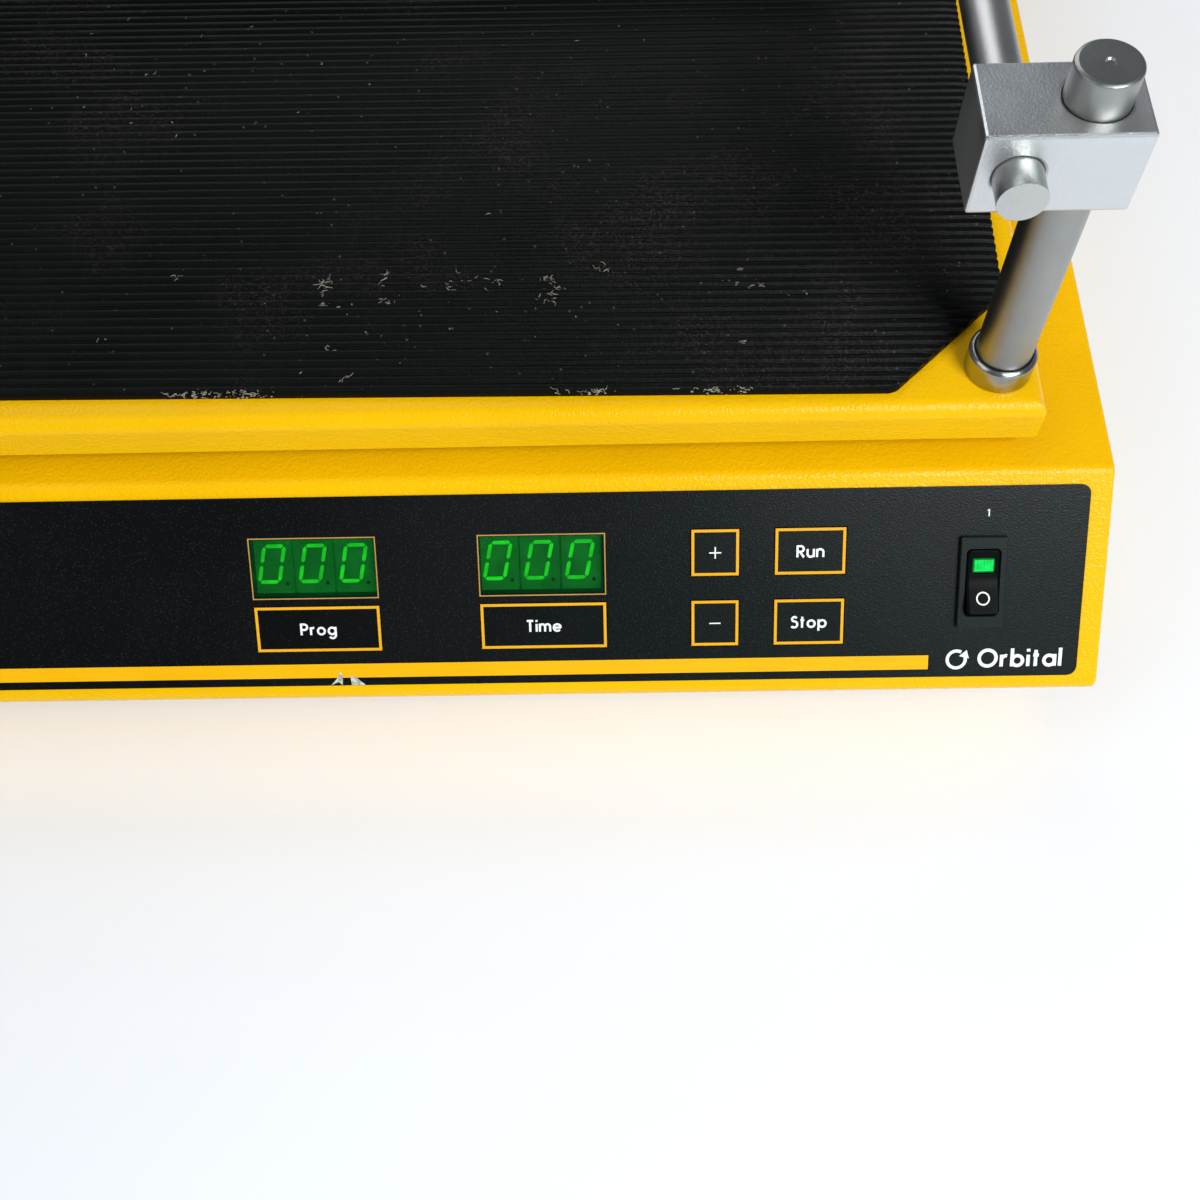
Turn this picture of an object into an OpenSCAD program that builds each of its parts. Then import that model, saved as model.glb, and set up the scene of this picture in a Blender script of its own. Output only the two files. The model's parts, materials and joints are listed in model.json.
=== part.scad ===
// Laboratory orbital shaker: a low sheet-metal case with a sloped console, and a square
// platform that an eccentric shaft and four idler cranks carry round a small circle.
// The origin is on the bench under the middle of the case. +Z is up and the console faces -Y.

/* [Platform] */
// Width of the tray, left to right
tray_w = 449; // [380:1:560]
// Depth of the tray, front to back
tray_d = 450; // [375:1:560]
// Height of the tray's folded lip
tray_lip = 14.5; // [13:0.5:24]
// Sheet thickness of the tray
tray_t = 2; // [1.5:0.5:3]
// Outside radius of the tray's bends
tray_bend_r = 4.5; // [3:0.5:7]
// Height of the tray's lip above the case
tray_gap = 8.3; // [6:0.1:20]
// Radius of the orbit
orbit_r = 10; // [5:0.5:12.5]

/* [Rubber mat] */
// Thickness of the mat over its ribs
mat_t = 3; // [2:0.5:5]
// Bare tray between the mat and the side and rear edges
mat_side_margin = 6; // [4:0.5:10]
// Bare tray in front of the middle of the mat
mat_front_margin = 8.2; // [6:0.1:12]
// Length of each cut corner along the mat's edges
mat_chamfer = 35; // [34:0.5:60]
// How far the mat lies askew, in degrees
mat_skew = 1; // [0:0.1:1]

/* [Case] */
// Case beyond the tray on each side
side_margin = 25.5; // [20:0.5:50]
// Flat top in front of the tray at the front of its orbit
front_margin = 5.7; // [4:0.1:20]
// Flat top behind the tray at the back of its orbit
rear_margin = 5.1; // [4:0.1:40]
// Length of the console along its slope
face_len = 70.9; // [68:0.1:84]
// Height of the console's lower edge above the bench
nose_z = 47; // [44:1:60]
// How far the case slopes back under the console
nose_recess = 26; // [20:1:28]
// Sheet thickness of the case
sheet_t = 1.5; // [1:0.1:2]
// Outside radius of the case's bends
case_bend_r = 4; // [3:0.5:6]
// Thickness of the base plate
base_t = 3; // [2:0.5:5]
// Height of the feet
foot_h = 15; // [10:1:25]
// Diameter of the feet
foot_d = 32; // [24:1:40]

/* [Console] */
// Yellow margin at each side of the label
label_margin = 7.05; // [5:0.05:12]
// Yellow margin below the label
label_bottom = 5.4; // [4:0.1:7]
// Height of the label along the slope
label_h = 60.8; // [59:0.1:62]
// Thickness of the label
label_t = 0.5; // [0.3:0.1:0.8]
// Width of a display window and of the key under it
display_w = 39.1; // [38.6:0.1:42]
// Height of a display window
display_h = 19.4; // [19.2:0.1:20]
// Height of every key
key_h = 14.8; // [13:0.1:15]
// Width of the plus and minus keys
step_key_w = 14.7; // [12:0.1:16]
// Width of the run and stop keys
run_key_w = 21.6; // [18:0.1:24]
// How far a key goes in
key_travel = 0.4; // [0.2:0.1:0.6]
// Width of the switch's bezel
bezel_w = 14.2; // [13.5:0.1:16]
// Height of the switch's bezel
bezel_h = 29; // [28:0.5:32]

/* [Drive] */
// Diameter of the drive pulley's rim
drive_pulley_d = 110; // [80:1:130]
// Diameter of the motor pulley's rim
motor_pulley_d = 36; // [28:1:44]
// Distance between the motor's shaft and the main shaft
belt_centres = 135; // [125:1:150]
// Width of the belt
belt_w = 10; // [8:1:12]
// Diameter of the main bearings' journal and of the crank pin
journal_d = 15; // [12:1:17]
// Diameter of the idler cranks' pins
idler_pin_d = 12; // [10:0.4:14.4]
// Sideways distance from the main shaft to the idler cranks
idler_x = 165; // [140:1:180]
// Front-to-back distance from the main shaft to the idler cranks
idler_y = 150; // [130:1:165]

/* [Holding frame] */
// Diameter of the posts
post_d = 16; // [12:0.2:20]
// Height of the posts above the tray
post_h = 110; // [95:1:200]
// Distance from a post's centre to the tray's side edge
post_inset_side = 12.1; // [12:0.1:16]
// Distance from a post's centre to the tray's front or rear edge
post_inset_front = 15.2; // [14:0.1:20]
// Wall of the collar at a post's foot
collar_wall = 1.8; // [1.5:0.1:3]
// Height of the collar
collar_h = 8.3; // [6:0.1:12]
// Height of the side rails above the tray
rail_height = 88; // [80:1:92]
// Diameter of the side rails
rail_d = 12; // [10:1:14]
// Diameter of the clamp bars
bar_d = 14; // [12:1:16]
// Diameter of the soft sleeves on the clamp bars
sleeve_d = 24; // [18:1:30]
// Distance of each clamp bar from the platform's centre
bar_offset = 105; // [100:1:130]

/* [Hidden] */
$fn = 48;

// ---- Clearances ----
fit_gap = 0.05;       // radial clearance of a running fit
loose_gap = 0.3;      // clearance between pieces that pass each other
arc_steps = 6;        // straight steps in a rounded corner of a profile

// ---- Colours ----
yellow = "#F5B700";
black = "#1B1D1F";
steel = "#B9BCBE";
zinc = "#9EA3A6";
rubber = "#202122";

// ---- Case ----
face_angle = 45;
face_run = face_len * cos(face_angle);
case_top = nose_z + face_len * sin(face_angle);
case_w = tray_w + 2 * side_margin;
nose_trim = case_bend_r * (sqrt(2) - 1);  // what the bend takes off the console's lower edge
case_d = face_run + front_margin + tray_d + 2 * orbit_r + rear_margin - nose_trim;
nose_y = -case_d / 2 - nose_trim;
rear_y = case_d / 2;
plinth_y = nose_y + nose_recess;
base_top = foot_h + base_t;
side_inner = case_w / 2 - sheet_t;
panel_inset = 5;      // rear panel behind the case's rear edge
panel_y = rear_y - panel_inset;
flange_h = 22;        // upturned sides of the base plate
foot_inset = 34;

// ---- Platform heights and places ----
lip_z = case_top + tray_gap;
tray_top = lip_z + tray_lip;
tray_under = tray_top - tray_t;
tray_front = nose_y + face_run + front_margin;
tray_y = tray_front + tray_d / 2;
shaft_y = tray_y + orbit_r;
frame_t = 5;
frame_z = tray_under - frame_t;

// ---- Console layout, in the slope's own plane ----
label_w = case_w - 2 * label_margin;
label_right = label_w / 2;
label_corner_r = 3;
prog_right = 216.1;   // right edges of the printed fields, from the label's right edge
time_right = 145.9;
step_right = 105.1;
run_right = 72.7;
switch_right = 31.3;  // middle of the switch
low_row = 11.4;       // bottom of the lower and upper key rows, from the label's bottom
high_row = 34;
display_row = 29;
switch_row = 31;
key_gap = 0.3;
key_t = 1.6;

module_w = 12.7;      // one seven-segment digit
module_h = 19.05;
module_depth = 8;
module_recess = 4.3;
board_t = 1.6;
board_depth = module_recess + module_depth;
board_margin = 14;    // board beyond the outer displays and keys
board_low = board_depth + board_t + 4.5;
board_high = label_bottom + label_h;

bezel_t = 2;
switch_body_w = bezel_w - 1.4;
switch_body_h = bezel_h - 2;
switch_body_depth = 20;
rocker_w = bezel_w - 4.4;
rocker_half = bezel_h / 2 - 4.6;
rocker_tilt = 10;
pivot_out = -0.5;     // rocker's pivot above the slope

// ---- Drive heights ----
pulley_flange = 2;
main_housing_h = 38;
main_housing_top = base_top + main_housing_h;
bearing_d = journal_d + 20;
bearing_w = 11;
lower_bearing_z = base_top + 4;
upper_bearing_z = main_housing_top - bearing_w;
ring_wall = 3;        // radial thickness of a bearing ring
pulley_z = main_housing_top + 2;
pulley_h = belt_w + 2 * pulley_flange;
weight_z = pulley_z + pulley_h + 3;
weight_h = 13;
shaft_d = journal_d + 5;
crank_gap = 2;        // crank disc above the case
crank_z = case_top + crank_gap;
crank_top = lip_z + 0.7;
crank_disc_d = 2 * orbit_r + journal_d + 15;
hub_bearing_w = 9;
hub_bearing_d = journal_d + 17;
hub_z = crank_top + 1;
belt_t = 2.5;
belt_gap = 0.1;
motor_y = shaft_y - belt_centres;
motor_d = 84;
bracket_t = 4;
motor_top = pulley_z - 3 - bracket_t;
motor_shaft_d = 8;

// ---- Idler cranks ----
bush_wall = 2;
bush_d = idler_pin_d + 2 * bush_wall;
bush_h = 26;
block_d = bush_d + 28;
block_top = case_top - sheet_t - 4;
idler_disc_d = 2 * orbit_r + idler_pin_d + 8;
idler_hub_d = bush_d + 2;
boss_d = bush_d + 12;
idler_corners = [[-1, -1], [1, -1], [-1, 1], [1, 1]];
function idler_at(corner) = [corner.x * idler_x, shaft_y + corner.y * idler_y];

// ---- Holding frame ----
post_x = tray_w / 2 - post_inset_side;
post_front_y = tray_front + post_inset_front;
post_rear_y = tray_front + tray_d - post_inset_front;
collar_d = post_d + 2 * collar_wall;
rail_z = tray_top + rail_height;
rail_x = post_x - post_d / 2 - rail_d / 2 - 3;
clamp_h = 24;
clamp_depth = 24;
rail_over = 8;        // rail beyond each clamp
end_block_w = rail_d + 14;
bar_drop = rail_d / 2 + bar_d / 2 + 4;
bar_z = rail_z - bar_drop;
bar_front_y = tray_y - bar_offset;
bar_rear_y = tray_y + bar_offset;
thumb_d = 6;
thumb_knob_d = 20;
thumb_knob_h = 10;

// ---- Profiles ----
function unit(v) = v / norm(v);

// Points of one corner q, between its neighbours p and s, rounded to radius r
function corner_points(p, q, s, r) =
    r <= 0 ? [q] :
    let (
        a = unit(p - q),
        b = unit(s - q),
        half = acos(a * b) / 2,
        centre = q + unit(a + b) * r / sin(half),
        from = q + a * r / tan(half) - centre,
        to = q + b * r / tan(half) - centre,
        turn = sign(from.x * to.y - from.y * to.x) * (180 - 2 * half)
    )
    [for (i = [0 : arc_steps])
        let (g = turn * i / arc_steps)
        centre + [from.x * cos(g) - from.y * sin(g), from.x * sin(g) + from.y * cos(g)]];

function rounded(points, radii) =
    let (n = len(points))
    [for (i = [0 : n - 1])
        each corner_points(points[(i + n - 1) % n], points[i], points[(i + 1) % n], radii[i])];

// A closed outline moved inwards by d; the outline runs clockwise
function inset(points, d) =
    let (n = len(points))
    [for (i = [0 : n - 1])
        let (
            q = points[i],
            a = unit(points[(i + n - 1) % n] - q),
            b = unit(points[(i + 1) % n] - q),
            convex = (a.x * b.y - a.y * b.x) > 0 ? 1 : -1
        )
        q + unit(a + b) * convex * d / sin(acos(a * b) / 2)];

module rounded_rect(w, h, r) {
    polygon(rounded([[-w / 2, -h / 2], [-w / 2, h / 2], [w / 2, h / 2], [w / 2, -h / 2]],
                    [r, r, r, r]));
}

// A profile drawn in Y and Z, run across the part
module along_x(w) {
    rotate([90, 0, 90])
        linear_extrude(w, center = true)
            children();
}

// A profile drawn in X and Z, run front to back
module along_y(d) {
    rotate([90, 0, 0])
        linear_extrude(d, center = true)
            children();
}

// Puts children on the console: x across, y up the slope, z out of it
module on_face() {
    translate([0, nose_y, nose_z])
        rotate([face_angle, 0, 0])
            children();
}

// Places children on the console by the right edge and bottom edge that the label measures
module on_label(right, bottom) {
    translate([label_right - right, label_bottom + bottom, 0])
        children();
}

module at_idlers() {
    for (corner = idler_corners)
        translate(idler_at(corner))
            children();
}

module at_posts() {
    for (x = [-post_x, post_x], y = [post_front_y, post_rear_y])
        translate([x, y, 0])
            children();
}

module tube(outer_d, inner_d, h) {
    difference() {
        cylinder(d = outer_d, h = h);
        translate([0, 0, -1])
            cylinder(d = inner_d, h = h + 2);
    }
}

// ---- Case ----
screw_d = 4;
screw_head_d = 7.6;
screw_head_h = 2.2;
housing_screw_places = [-0.28, 0.04, 0.36];   // as shares of the case's depth
flange_z = base_top + 12;

module at_housing_screws() {
    for (side = [-1, 1], place = housing_screw_places)
        translate([side * case_w / 2, place * case_d, flange_z])
            rotate([0, side * 90, 0])
                children();
}

module at_feet() {
    for (x = [-1, 1], y = [plinth_y + foot_inset, rear_y - foot_inset])
        translate([x * (case_w / 2 - foot_inset), y, 0])
            children();
}

module base_plate() {
    width = 2 * (side_inner - loose_gap);
    front = plinth_y + sheet_t + loose_gap;
    depth = panel_y - front;
    color(zinc)
        difference() {
            union() {
                translate([-width / 2, front, foot_h])
                    cube([width, depth, base_t]);
                for (side = [-1, 1])
                    translate([side * (width / 2 - base_t / 2), front + depth / 2, base_top + flange_h / 2])
                        cube([base_t, depth, flange_h], center = true);
            }
            at_feet()
                cylinder(d = screw_d + 1, h = base_top + 1);
            at_housing_screws()
                translate([0, 0, -20])
                    cylinder(d = screw_d, h = 30);
        }
}

module housing() {
    outer = [
        [nose_y, nose_z], [nose_y + face_run, case_top], [rear_y, case_top],
        [rear_y, foot_h], [plinth_y, foot_h], [plinth_y, nose_z - nose_recess]
    ];
    r = case_bend_r;
    shell = inset(outer, sheet_t);
    inner = [
        shell[0], shell[1], shell[2] + [sheet_t + 1, 0], [rear_y + 1, foot_h - 1],
        [shell[4].x, foot_h - 1], shell[5]
    ];
    ri = r - sheet_t;
    color(yellow)
        difference() {
            along_x(case_w)
                polygon(rounded(outer, [r, r, 0, 0, 0, r]));
            along_x(2 * side_inner)
                polygon(rounded(inner, [ri, ri, 0, 0, 0, r + sheet_t]));
            on_face()
                console_openings(-sheet_t - 1, sheet_t + 2);
            translate([0, shaft_y, case_top - 5])
                cylinder(d = shaft_d + 24, h = 10);
            at_idlers()
                translate([0, 0, case_top - 5])
                    cylinder(d = idler_hub_d + 16, h = 10);
            at_housing_screws()
                translate([0, 0, -5])
                    cylinder(d = screw_d + 0.4, h = 10);
        }
}

// Openings through the console's sheet for the displays, the keys and the switch
module console_openings(z, h) {
    for (right = [prog_right, time_right])
        on_label(right + display_w, display_row)
            translate([0, 0, z])
                cube([display_w, display_h, h]);
    at_keys()
        translate([-key_gap, -key_gap, z])
            cube([$key_w + 2 * key_gap, key_h + 2 * key_gap, h]);
    on_label(switch_right, switch_row)
        translate([-switch_body_w / 2 - 0.1, -switch_body_h / 2 - 0.1, z])
            cube([switch_body_w + 0.2, switch_body_h + 0.2, h]);
}

inlet_x = -150;
inlet_z = 46;
inlet_w = 48;
inlet_h = 40;
inlet_flange_t = 2.5;
vent_x = [-50, 130];
vent_slots = 9;
vent_pitch = 9;
vent_slot_h = 30;

module rear_panel() {
    width = 2 * (side_inner - loose_gap);
    top = case_top - sheet_t - loose_gap;
    color(yellow)
        difference() {
            translate([-width / 2, panel_y, foot_h])
                cube([width, sheet_t, top - foot_h]);
            translate([inlet_x, panel_y, inlet_z])
                cube([inlet_w - 6 + 0.2, 10, inlet_h - 6 + 0.2], center = true);
            for (x = vent_x, i = [0 : vent_slots - 1])
                translate([x + (i - (vent_slots - 1) / 2) * vent_pitch, panel_y, base_top + 38])
                    cube([3.5, 10, vent_slot_h], center = true);
        }
}

module rubber_feet() {
    color(rubber)
        at_feet()
            difference() {
                union() {
                    cylinder(d = foot_d - 4, h = 2);
                    translate([0, 0, 2])
                        cylinder(d1 = foot_d - 4, d2 = foot_d, h = foot_h - 2, $fn = 60);
                }
                translate([0, 0, -1])
                    cylinder(d = 12, h = foot_h - 4 + 1);
                cylinder(d = screw_d + 1, h = foot_h + 1);
            }
}

module foot_screws() {
    color(steel)
        at_feet() {
            translate([0, 0, foot_h - 4 - 3.5])
                cylinder(d = 9, h = 3.5);
            translate([0, 0, foot_h - 4])
                cylinder(d = screw_d, h = 4 + base_t + 2);
        }
}

module housing_screws() {
    color(steel)
        at_housing_screws() {
            cylinder(d = screw_head_d, h = screw_head_h);
            translate([0, 0, -sheet_t - loose_gap - base_t - 3])
                cylinder(d = screw_d - 2 * fit_gap, h = sheet_t + loose_gap + base_t + 3);
        }
}

// ---- Console ----
key_fields = [
    ["key_prog", prog_right, low_row, display_w],
    ["key_time", time_right, low_row, display_w],
    ["key_plus", step_right, high_row, step_key_w],
    ["key_minus", step_right, low_row, step_key_w],
    ["key_run", run_right, high_row, run_key_w],
    ["key_stop", run_right, low_row, run_key_w]
];

// Places children at the lower left corner of every key, with its width in $key_w
module at_keys() {
    for (field = key_fields)
        on_label(field[1] + field[3], field[2]) {
            $key_w = field[3];
            children();
        }
}

module front_label() {
    color(black)
        on_face()
            difference() {
                translate([0, label_bottom + label_h / 2, 0])
                    linear_extrude(label_t)
                        rounded_rect(label_w, label_h, label_corner_r);
                console_openings(-1, label_t + 2);
            }
}

module display_windows() {
    color("#2A6B45")
        on_face()
            for (right = [prog_right, time_right])
                on_label(right + display_w, display_row)
                    translate([-1.5, -1.5, -sheet_t - 1])
                        cube([display_w + 3, display_h + 2, 1]);
}

module digit_displays() {
    color("#0C5A2C")
        on_face()
            for (right = [prog_right, time_right], i = [-1 : 1])
                on_label(right + display_w / 2, display_row + display_h / 2)
                    translate([i * module_w, 0, -board_depth + module_depth / 2])
                        cube([module_w - 0.1, module_h, module_depth], center = true);
}

module control_board() {
    left = label_right - prog_right - display_w - board_margin;
    right = label_right - run_right + board_margin;
    color("#1F5E3A")
        on_face()
            difference() {
                translate([left, board_low, -board_depth - board_t])
                    cube([right - left, board_high - board_low, board_t]);
                at_standoffs()
                    translate([0, 0, -board_depth - 5])
                        cylinder(d = 3.2, h = 10);
            }
}

module at_standoffs() {
    left = label_right - prog_right - display_w - board_margin;
    right = label_right - run_right + board_margin;
    for (x = [left + 5, right - 5], y = [board_low + 5, board_high - 5])
        translate([x, y, 0])
            children();
}

module board_standoffs() {
    color(steel)
        on_face()
            at_standoffs() {
                translate([0, 0, -board_depth])
                    cylinder(d = 6, h = board_depth - sheet_t);
                translate([0, 0, -board_depth - board_t])
                    cylinder(d = 3, h = board_t);
                translate([0, 0, -board_depth - board_t - 2])
                    cylinder(d = 5.5, h = 2);
            }
}

module key_switches() {
    stem_top = -(key_t - label_t) - key_travel - 0.1;
    color("#30343A")
        on_face()
            at_keys()
                translate([$key_w / 2, key_h / 2 + 3, 0]) {
                    translate([0, 0, -board_depth + 1.75])
                        cube([6, 6, 3.5], center = true);
                    translate([0, 0, -board_depth + 3.5])
                        cylinder(d = 3.5, h = stem_top + board_depth - 3.5);
                }
}

module key(index) {
    field = key_fields[index];
    color(black)
        on_face()
            on_label(field[1] + field[3], field[2])
                translate([0, 0, label_t - key_t])
                    cube([field[3], key_h, key_t]);
}

module switch_bezel() {
    color(black)
        on_face()
            on_label(switch_right, switch_row)
                difference() {
                    union() {
                        translate([0, 0, label_t])
                            linear_extrude(bezel_t)
                                rounded_rect(bezel_w, bezel_h, 0.6);
                        translate([-switch_body_w / 2, -switch_body_h / 2, -switch_body_depth])
                            cube([switch_body_w, switch_body_h, switch_body_depth + label_t]);
                    }
                    translate([-rocker_w / 2 - 0.2, -rocker_half - 0.7, -9])
                        cube([rocker_w + 0.4, 2 * rocker_half + 1.4, 20]);
                }
}

// The rocker's outline with the switch level: two faces that fall to the middle
module rocker_outline() {
    rise = rocker_half * tan(rocker_tilt);
    polygon([
        [-rocker_half, -1.5], [-rocker_half, 2.6 + rise], [0, 2.6], [rocker_half, 2.6 + rise],
        [rocker_half, -1.5], [2.5, -4.5], [-2.5, -4.5]
    ]);
}

module at_rocker() {
    on_face()
        on_label(switch_right, switch_row)
            translate([0, 0, pivot_out + label_t])
                rotate([-rocker_tilt, 0, 0])
                    children();
}

lens_w = 6.6;
lens_h = 4.4;
lens_t = 1.2;
lens_v = 5.6;         // middle of the lens up the rocker

module at_lens() {
    rotate([rocker_tilt, 0, 0])
        translate([0, lens_v, 2.6])
            children();
}

module switch_rocker() {
    color("#111214")
        at_rocker()
            difference() {
                along_x(rocker_w)
                    rocker_outline();
                at_lens()
                    translate([0, 0, 1])
                        cube([lens_w, lens_h, 4], center = true);
            }
}

module switch_lens() {
    color("#12C05A")
        at_rocker()
            at_lens()
                translate([0, 0, -lens_t / 2 + 0.2])
                    cube([lens_w - 0.1, lens_h - 0.1, lens_t], center = true);
}

// ---- Mains inlet and power supply ----
socket_w = 24.5;
socket_h = 16.5;
socket_depth = 17;
pin_setback = 5.5;
socket_z = inlet_z - 8;
drawer_w = 26;
drawer_h = 8;
drawer_depth = 22;
drawer_z = inlet_z + 11;
inlet_depth = 27;

module power_inlet() {
    face = panel_y + sheet_t + inlet_flange_t;
    color(black)
        difference() {
            union() {
                translate([inlet_x, face - inlet_flange_t / 2, inlet_z])
                    cube([inlet_w, inlet_flange_t, inlet_h], center = true);
                translate([inlet_x - (inlet_w - 6) / 2, face - inlet_flange_t - inlet_depth,
                           inlet_z - (inlet_h - 6) / 2])
                    cube([inlet_w - 6, inlet_depth, inlet_h - 6]);
            }
            translate([inlet_x - socket_w / 2, face - socket_depth, socket_z - socket_h / 2])
                cube([socket_w, socket_depth + 1, socket_h]);
            translate([inlet_x - drawer_w / 2 - loose_gap, face - drawer_depth - loose_gap,
                       drawer_z - drawer_h / 2 - loose_gap])
                cube([drawer_w + 2 * loose_gap, drawer_depth + 2, drawer_h + 2 * loose_gap]);
        }
    color(steel)
        for (pin = [[-7, 0], [0, 4], [7, 0]])
            translate([inlet_x + pin.x - 1, face - socket_depth - 0.5, socket_z - 3 + pin.y])
                cube([2, socket_depth - pin_setback + 0.5, 4]);
}

module fuse_drawer() {
    face = panel_y + sheet_t + inlet_flange_t;
    color(black)
        difference() {
            translate([inlet_x - drawer_w / 2, face - drawer_depth, drawer_z - drawer_h / 2])
                cube([drawer_w, drawer_depth, drawer_h]);
            translate([inlet_x - 10, face - drawer_depth + 4, drawer_z - 2.5])
                cube([20, drawer_depth - 10, drawer_h]);
            translate([inlet_x - 5, face - 1, drawer_z + drawer_h / 2 - 2])
                cube([10, 2, 3]);
        }
}

supply_w = 140;
supply_d = 80;
supply_h = 40;

module power_supply() {
    front = shaft_y + drive_pulley_d / 2 + 30;
    color(zinc)
        translate([-supply_w / 2, front, base_top])
            difference() {
                cube([supply_w, supply_d, supply_h]);
                for (i = [0 : 11])
                    translate([15 + i * 10, 10, supply_h - 1])
                        cube([4, supply_d - 20, 2]);
            }
}

// ---- Motor and belt ----
bracket_w = motor_d + 16;

module motor() {
    bottom = base_top + 1;
    color("#2B2E31")
        translate([0, motor_y, 0])
            difference() {
                translate([0, 0, bottom])
                    cylinder(d = motor_d, h = motor_top - bottom, $fn = 72);
                cylinder(d = motor_shaft_d + 2, h = motor_top + 1);
                translate([0, 0, bottom + 6])
                    tube(motor_d + 1, motor_d - 3, motor_top - bottom - 12);
            }
}

module motor_bracket() {
    color(zinc)
        translate([0, motor_y, 0])
            difference() {
                union() {
                    translate([-bracket_w / 2, -bracket_w / 2, motor_top])
                        cube([bracket_w, bracket_w, bracket_t]);
                    for (side = [-1, 1])
                        translate([side * (bracket_w / 2 - bracket_t / 2), 0,
                                   (base_top + motor_top) / 2])
                            cube([bracket_t, bracket_w, motor_top - base_top], center = true);
                    for (side = [-1, 1])
                        translate([side * (bracket_w / 2 + 8), 0, base_top + bracket_t / 2])
                            cube([20, bracket_w, bracket_t], center = true);
                }
                cylinder(d = motor_shaft_d + 14, h = 200);
            }
}

module motor_shaft() {
    color(steel)
        translate([0, motor_y, base_top + 3])
            cylinder(d = motor_shaft_d, h = pulley_z + pulley_h + 2 - base_top - 3);
}

module pulley(rim_d, bore_d) {
    difference() {
        union() {
            cylinder(d = rim_d, h = pulley_h, $fn = 96);
            for (z = [0, pulley_h - pulley_flange])
                translate([0, 0, z])
                    cylinder(d = rim_d + 6, h = pulley_flange, $fn = 96);
        }
        translate([0, 0, -1])
            cylinder(d = bore_d, h = pulley_h + 2);
        children();
    }
}

module motor_pulley() {
    color(steel)
        translate([0, motor_y, pulley_z])
            pulley(motor_pulley_d, motor_shaft_d);
}

// Outline round both pulleys, at a distance from their rims
module belt_outline(out) {
    big = drive_pulley_d / 2 + out;
    small = motor_pulley_d / 2 + out;
    lean = asin((big - small) / belt_centres);
    circle(r = big, $fn = 120);
    translate([0, -belt_centres])
        circle(r = small, $fn = 80);
    polygon([
        [-big * cos(lean), -big * sin(lean)], [big * cos(lean), -big * sin(lean)],
        [small * cos(lean), -belt_centres - small * sin(lean)],
        [-small * cos(lean), -belt_centres - small * sin(lean)]
    ]);
}

module drive_belt() {
    color(rubber)
        translate([0, shaft_y, pulley_z + pulley_flange + 0.5])
            linear_extrude(belt_w - 1)
                difference() {
                    belt_outline(belt_gap + belt_t);
                    belt_outline(belt_gap);
                }
}

// ---- Main shaft ----
main_housing_d = bearing_d + 17;
main_flange_d = main_housing_d + 34;
main_flange_h = 6;
main_bolt_d = 6;

module main_bearing_housing() {
    color("#8C9094")
        translate([0, shaft_y, 0])
            difference() {
                union() {
                    translate([0, 0, base_top])
                        cylinder(d = main_flange_d, h = main_flange_h);
                    translate([0, 0, base_top])
                        cylinder(d = main_housing_d, h = main_housing_h);
                }
                translate([0, 0, lower_bearing_z])
                    cylinder(d = bearing_d, h = main_housing_top - lower_bearing_z + 1);
                translate([0, 0, base_top - 1])
                    cylinder(d = journal_d + 4, h = 10);
                for (a = [45 : 90 : 315])
                    rotate(a)
                        translate([(main_housing_d + main_flange_d) / 4, 0, base_top - 1])
                            cylinder(d = main_bolt_d, h = 20);
            }
}

module at_main_bearings() {
    for (z = [lower_bearing_z, upper_bearing_z])
        translate([0, shaft_y, z])
            children();
}

module bearing_outer_rings() {
    color(steel)
        at_main_bearings()
            tube(bearing_d, bearing_d - 2 * ring_wall, bearing_w);
}

module bearing_inner_rings() {
    color(steel) {
        at_main_bearings()
            tube(bearing_d - 2 * ring_wall - 1, journal_d, bearing_w);
        translate([0, shaft_y - orbit_r, hub_z])
            tube(hub_bearing_d - 2 * ring_wall - 1, journal_d, hub_bearing_w);
    }
}

module main_shaft() {
    color(steel) {
        translate([0, shaft_y, lower_bearing_z - 2])
            cylinder(d = journal_d, h = main_housing_top - lower_bearing_z + 2);
        translate([0, shaft_y, main_housing_top])
            cylinder(d = shaft_d, h = crank_z - main_housing_top);
        translate([0, shaft_y, crank_z])
            cylinder(d = crank_disc_d, h = crank_top - crank_z, $fn = 72);
        translate([0, shaft_y - orbit_r, crank_top])
            cylinder(d = journal_d + 4, h = hub_z - crank_top);
        translate([0, shaft_y - orbit_r, hub_z])
            cylinder(d = journal_d, h = hub_bearing_w);
    }
}

module drive_pulley() {
    color(steel)
        translate([0, shaft_y, pulley_z])
            pulley(drive_pulley_d, shaft_d)
                for (a = [0 : 60 : 300])
                    rotate(a)
                        translate([(drive_pulley_d + shaft_d) / 4, 0, -1])
                            cylinder(d = (drive_pulley_d - shaft_d) / 4, h = pulley_h + 2);
}

weight_r = 62;

module counterweight() {
    color("#6F7478")
        translate([0, shaft_y, weight_z])
            difference() {
                union() {
                    cylinder(d = shaft_d + 16, h = weight_h);
                    intersection() {
                        cylinder(r = weight_r, h = weight_h, $fn = 96);
                        translate([-weight_r, 6, 0])
                            cube([2 * weight_r, weight_r, weight_h]);
                    }
                }
                translate([0, 0, -1])
                    cylinder(d = shaft_d, h = weight_h + 2);
            }
}

// ---- Idler cranks ----
module idler_blocks() {
    color("#8C9094")
        at_idlers()
            difference() {
                translate([0, 0, base_top])
                    cylinder(d = block_d, h = block_top - base_top);
                translate([0, 0, block_top - bush_h - 6])
                    cylinder(d = bush_d, h = bush_h + 7);
            }
}

module idler_bushes() {
    color("#B58A4A")
        at_idlers()
            translate([0, 0, block_top - bush_h])
                tube(bush_d, idler_pin_d + 2 * fit_gap, bush_h);
}

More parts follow.
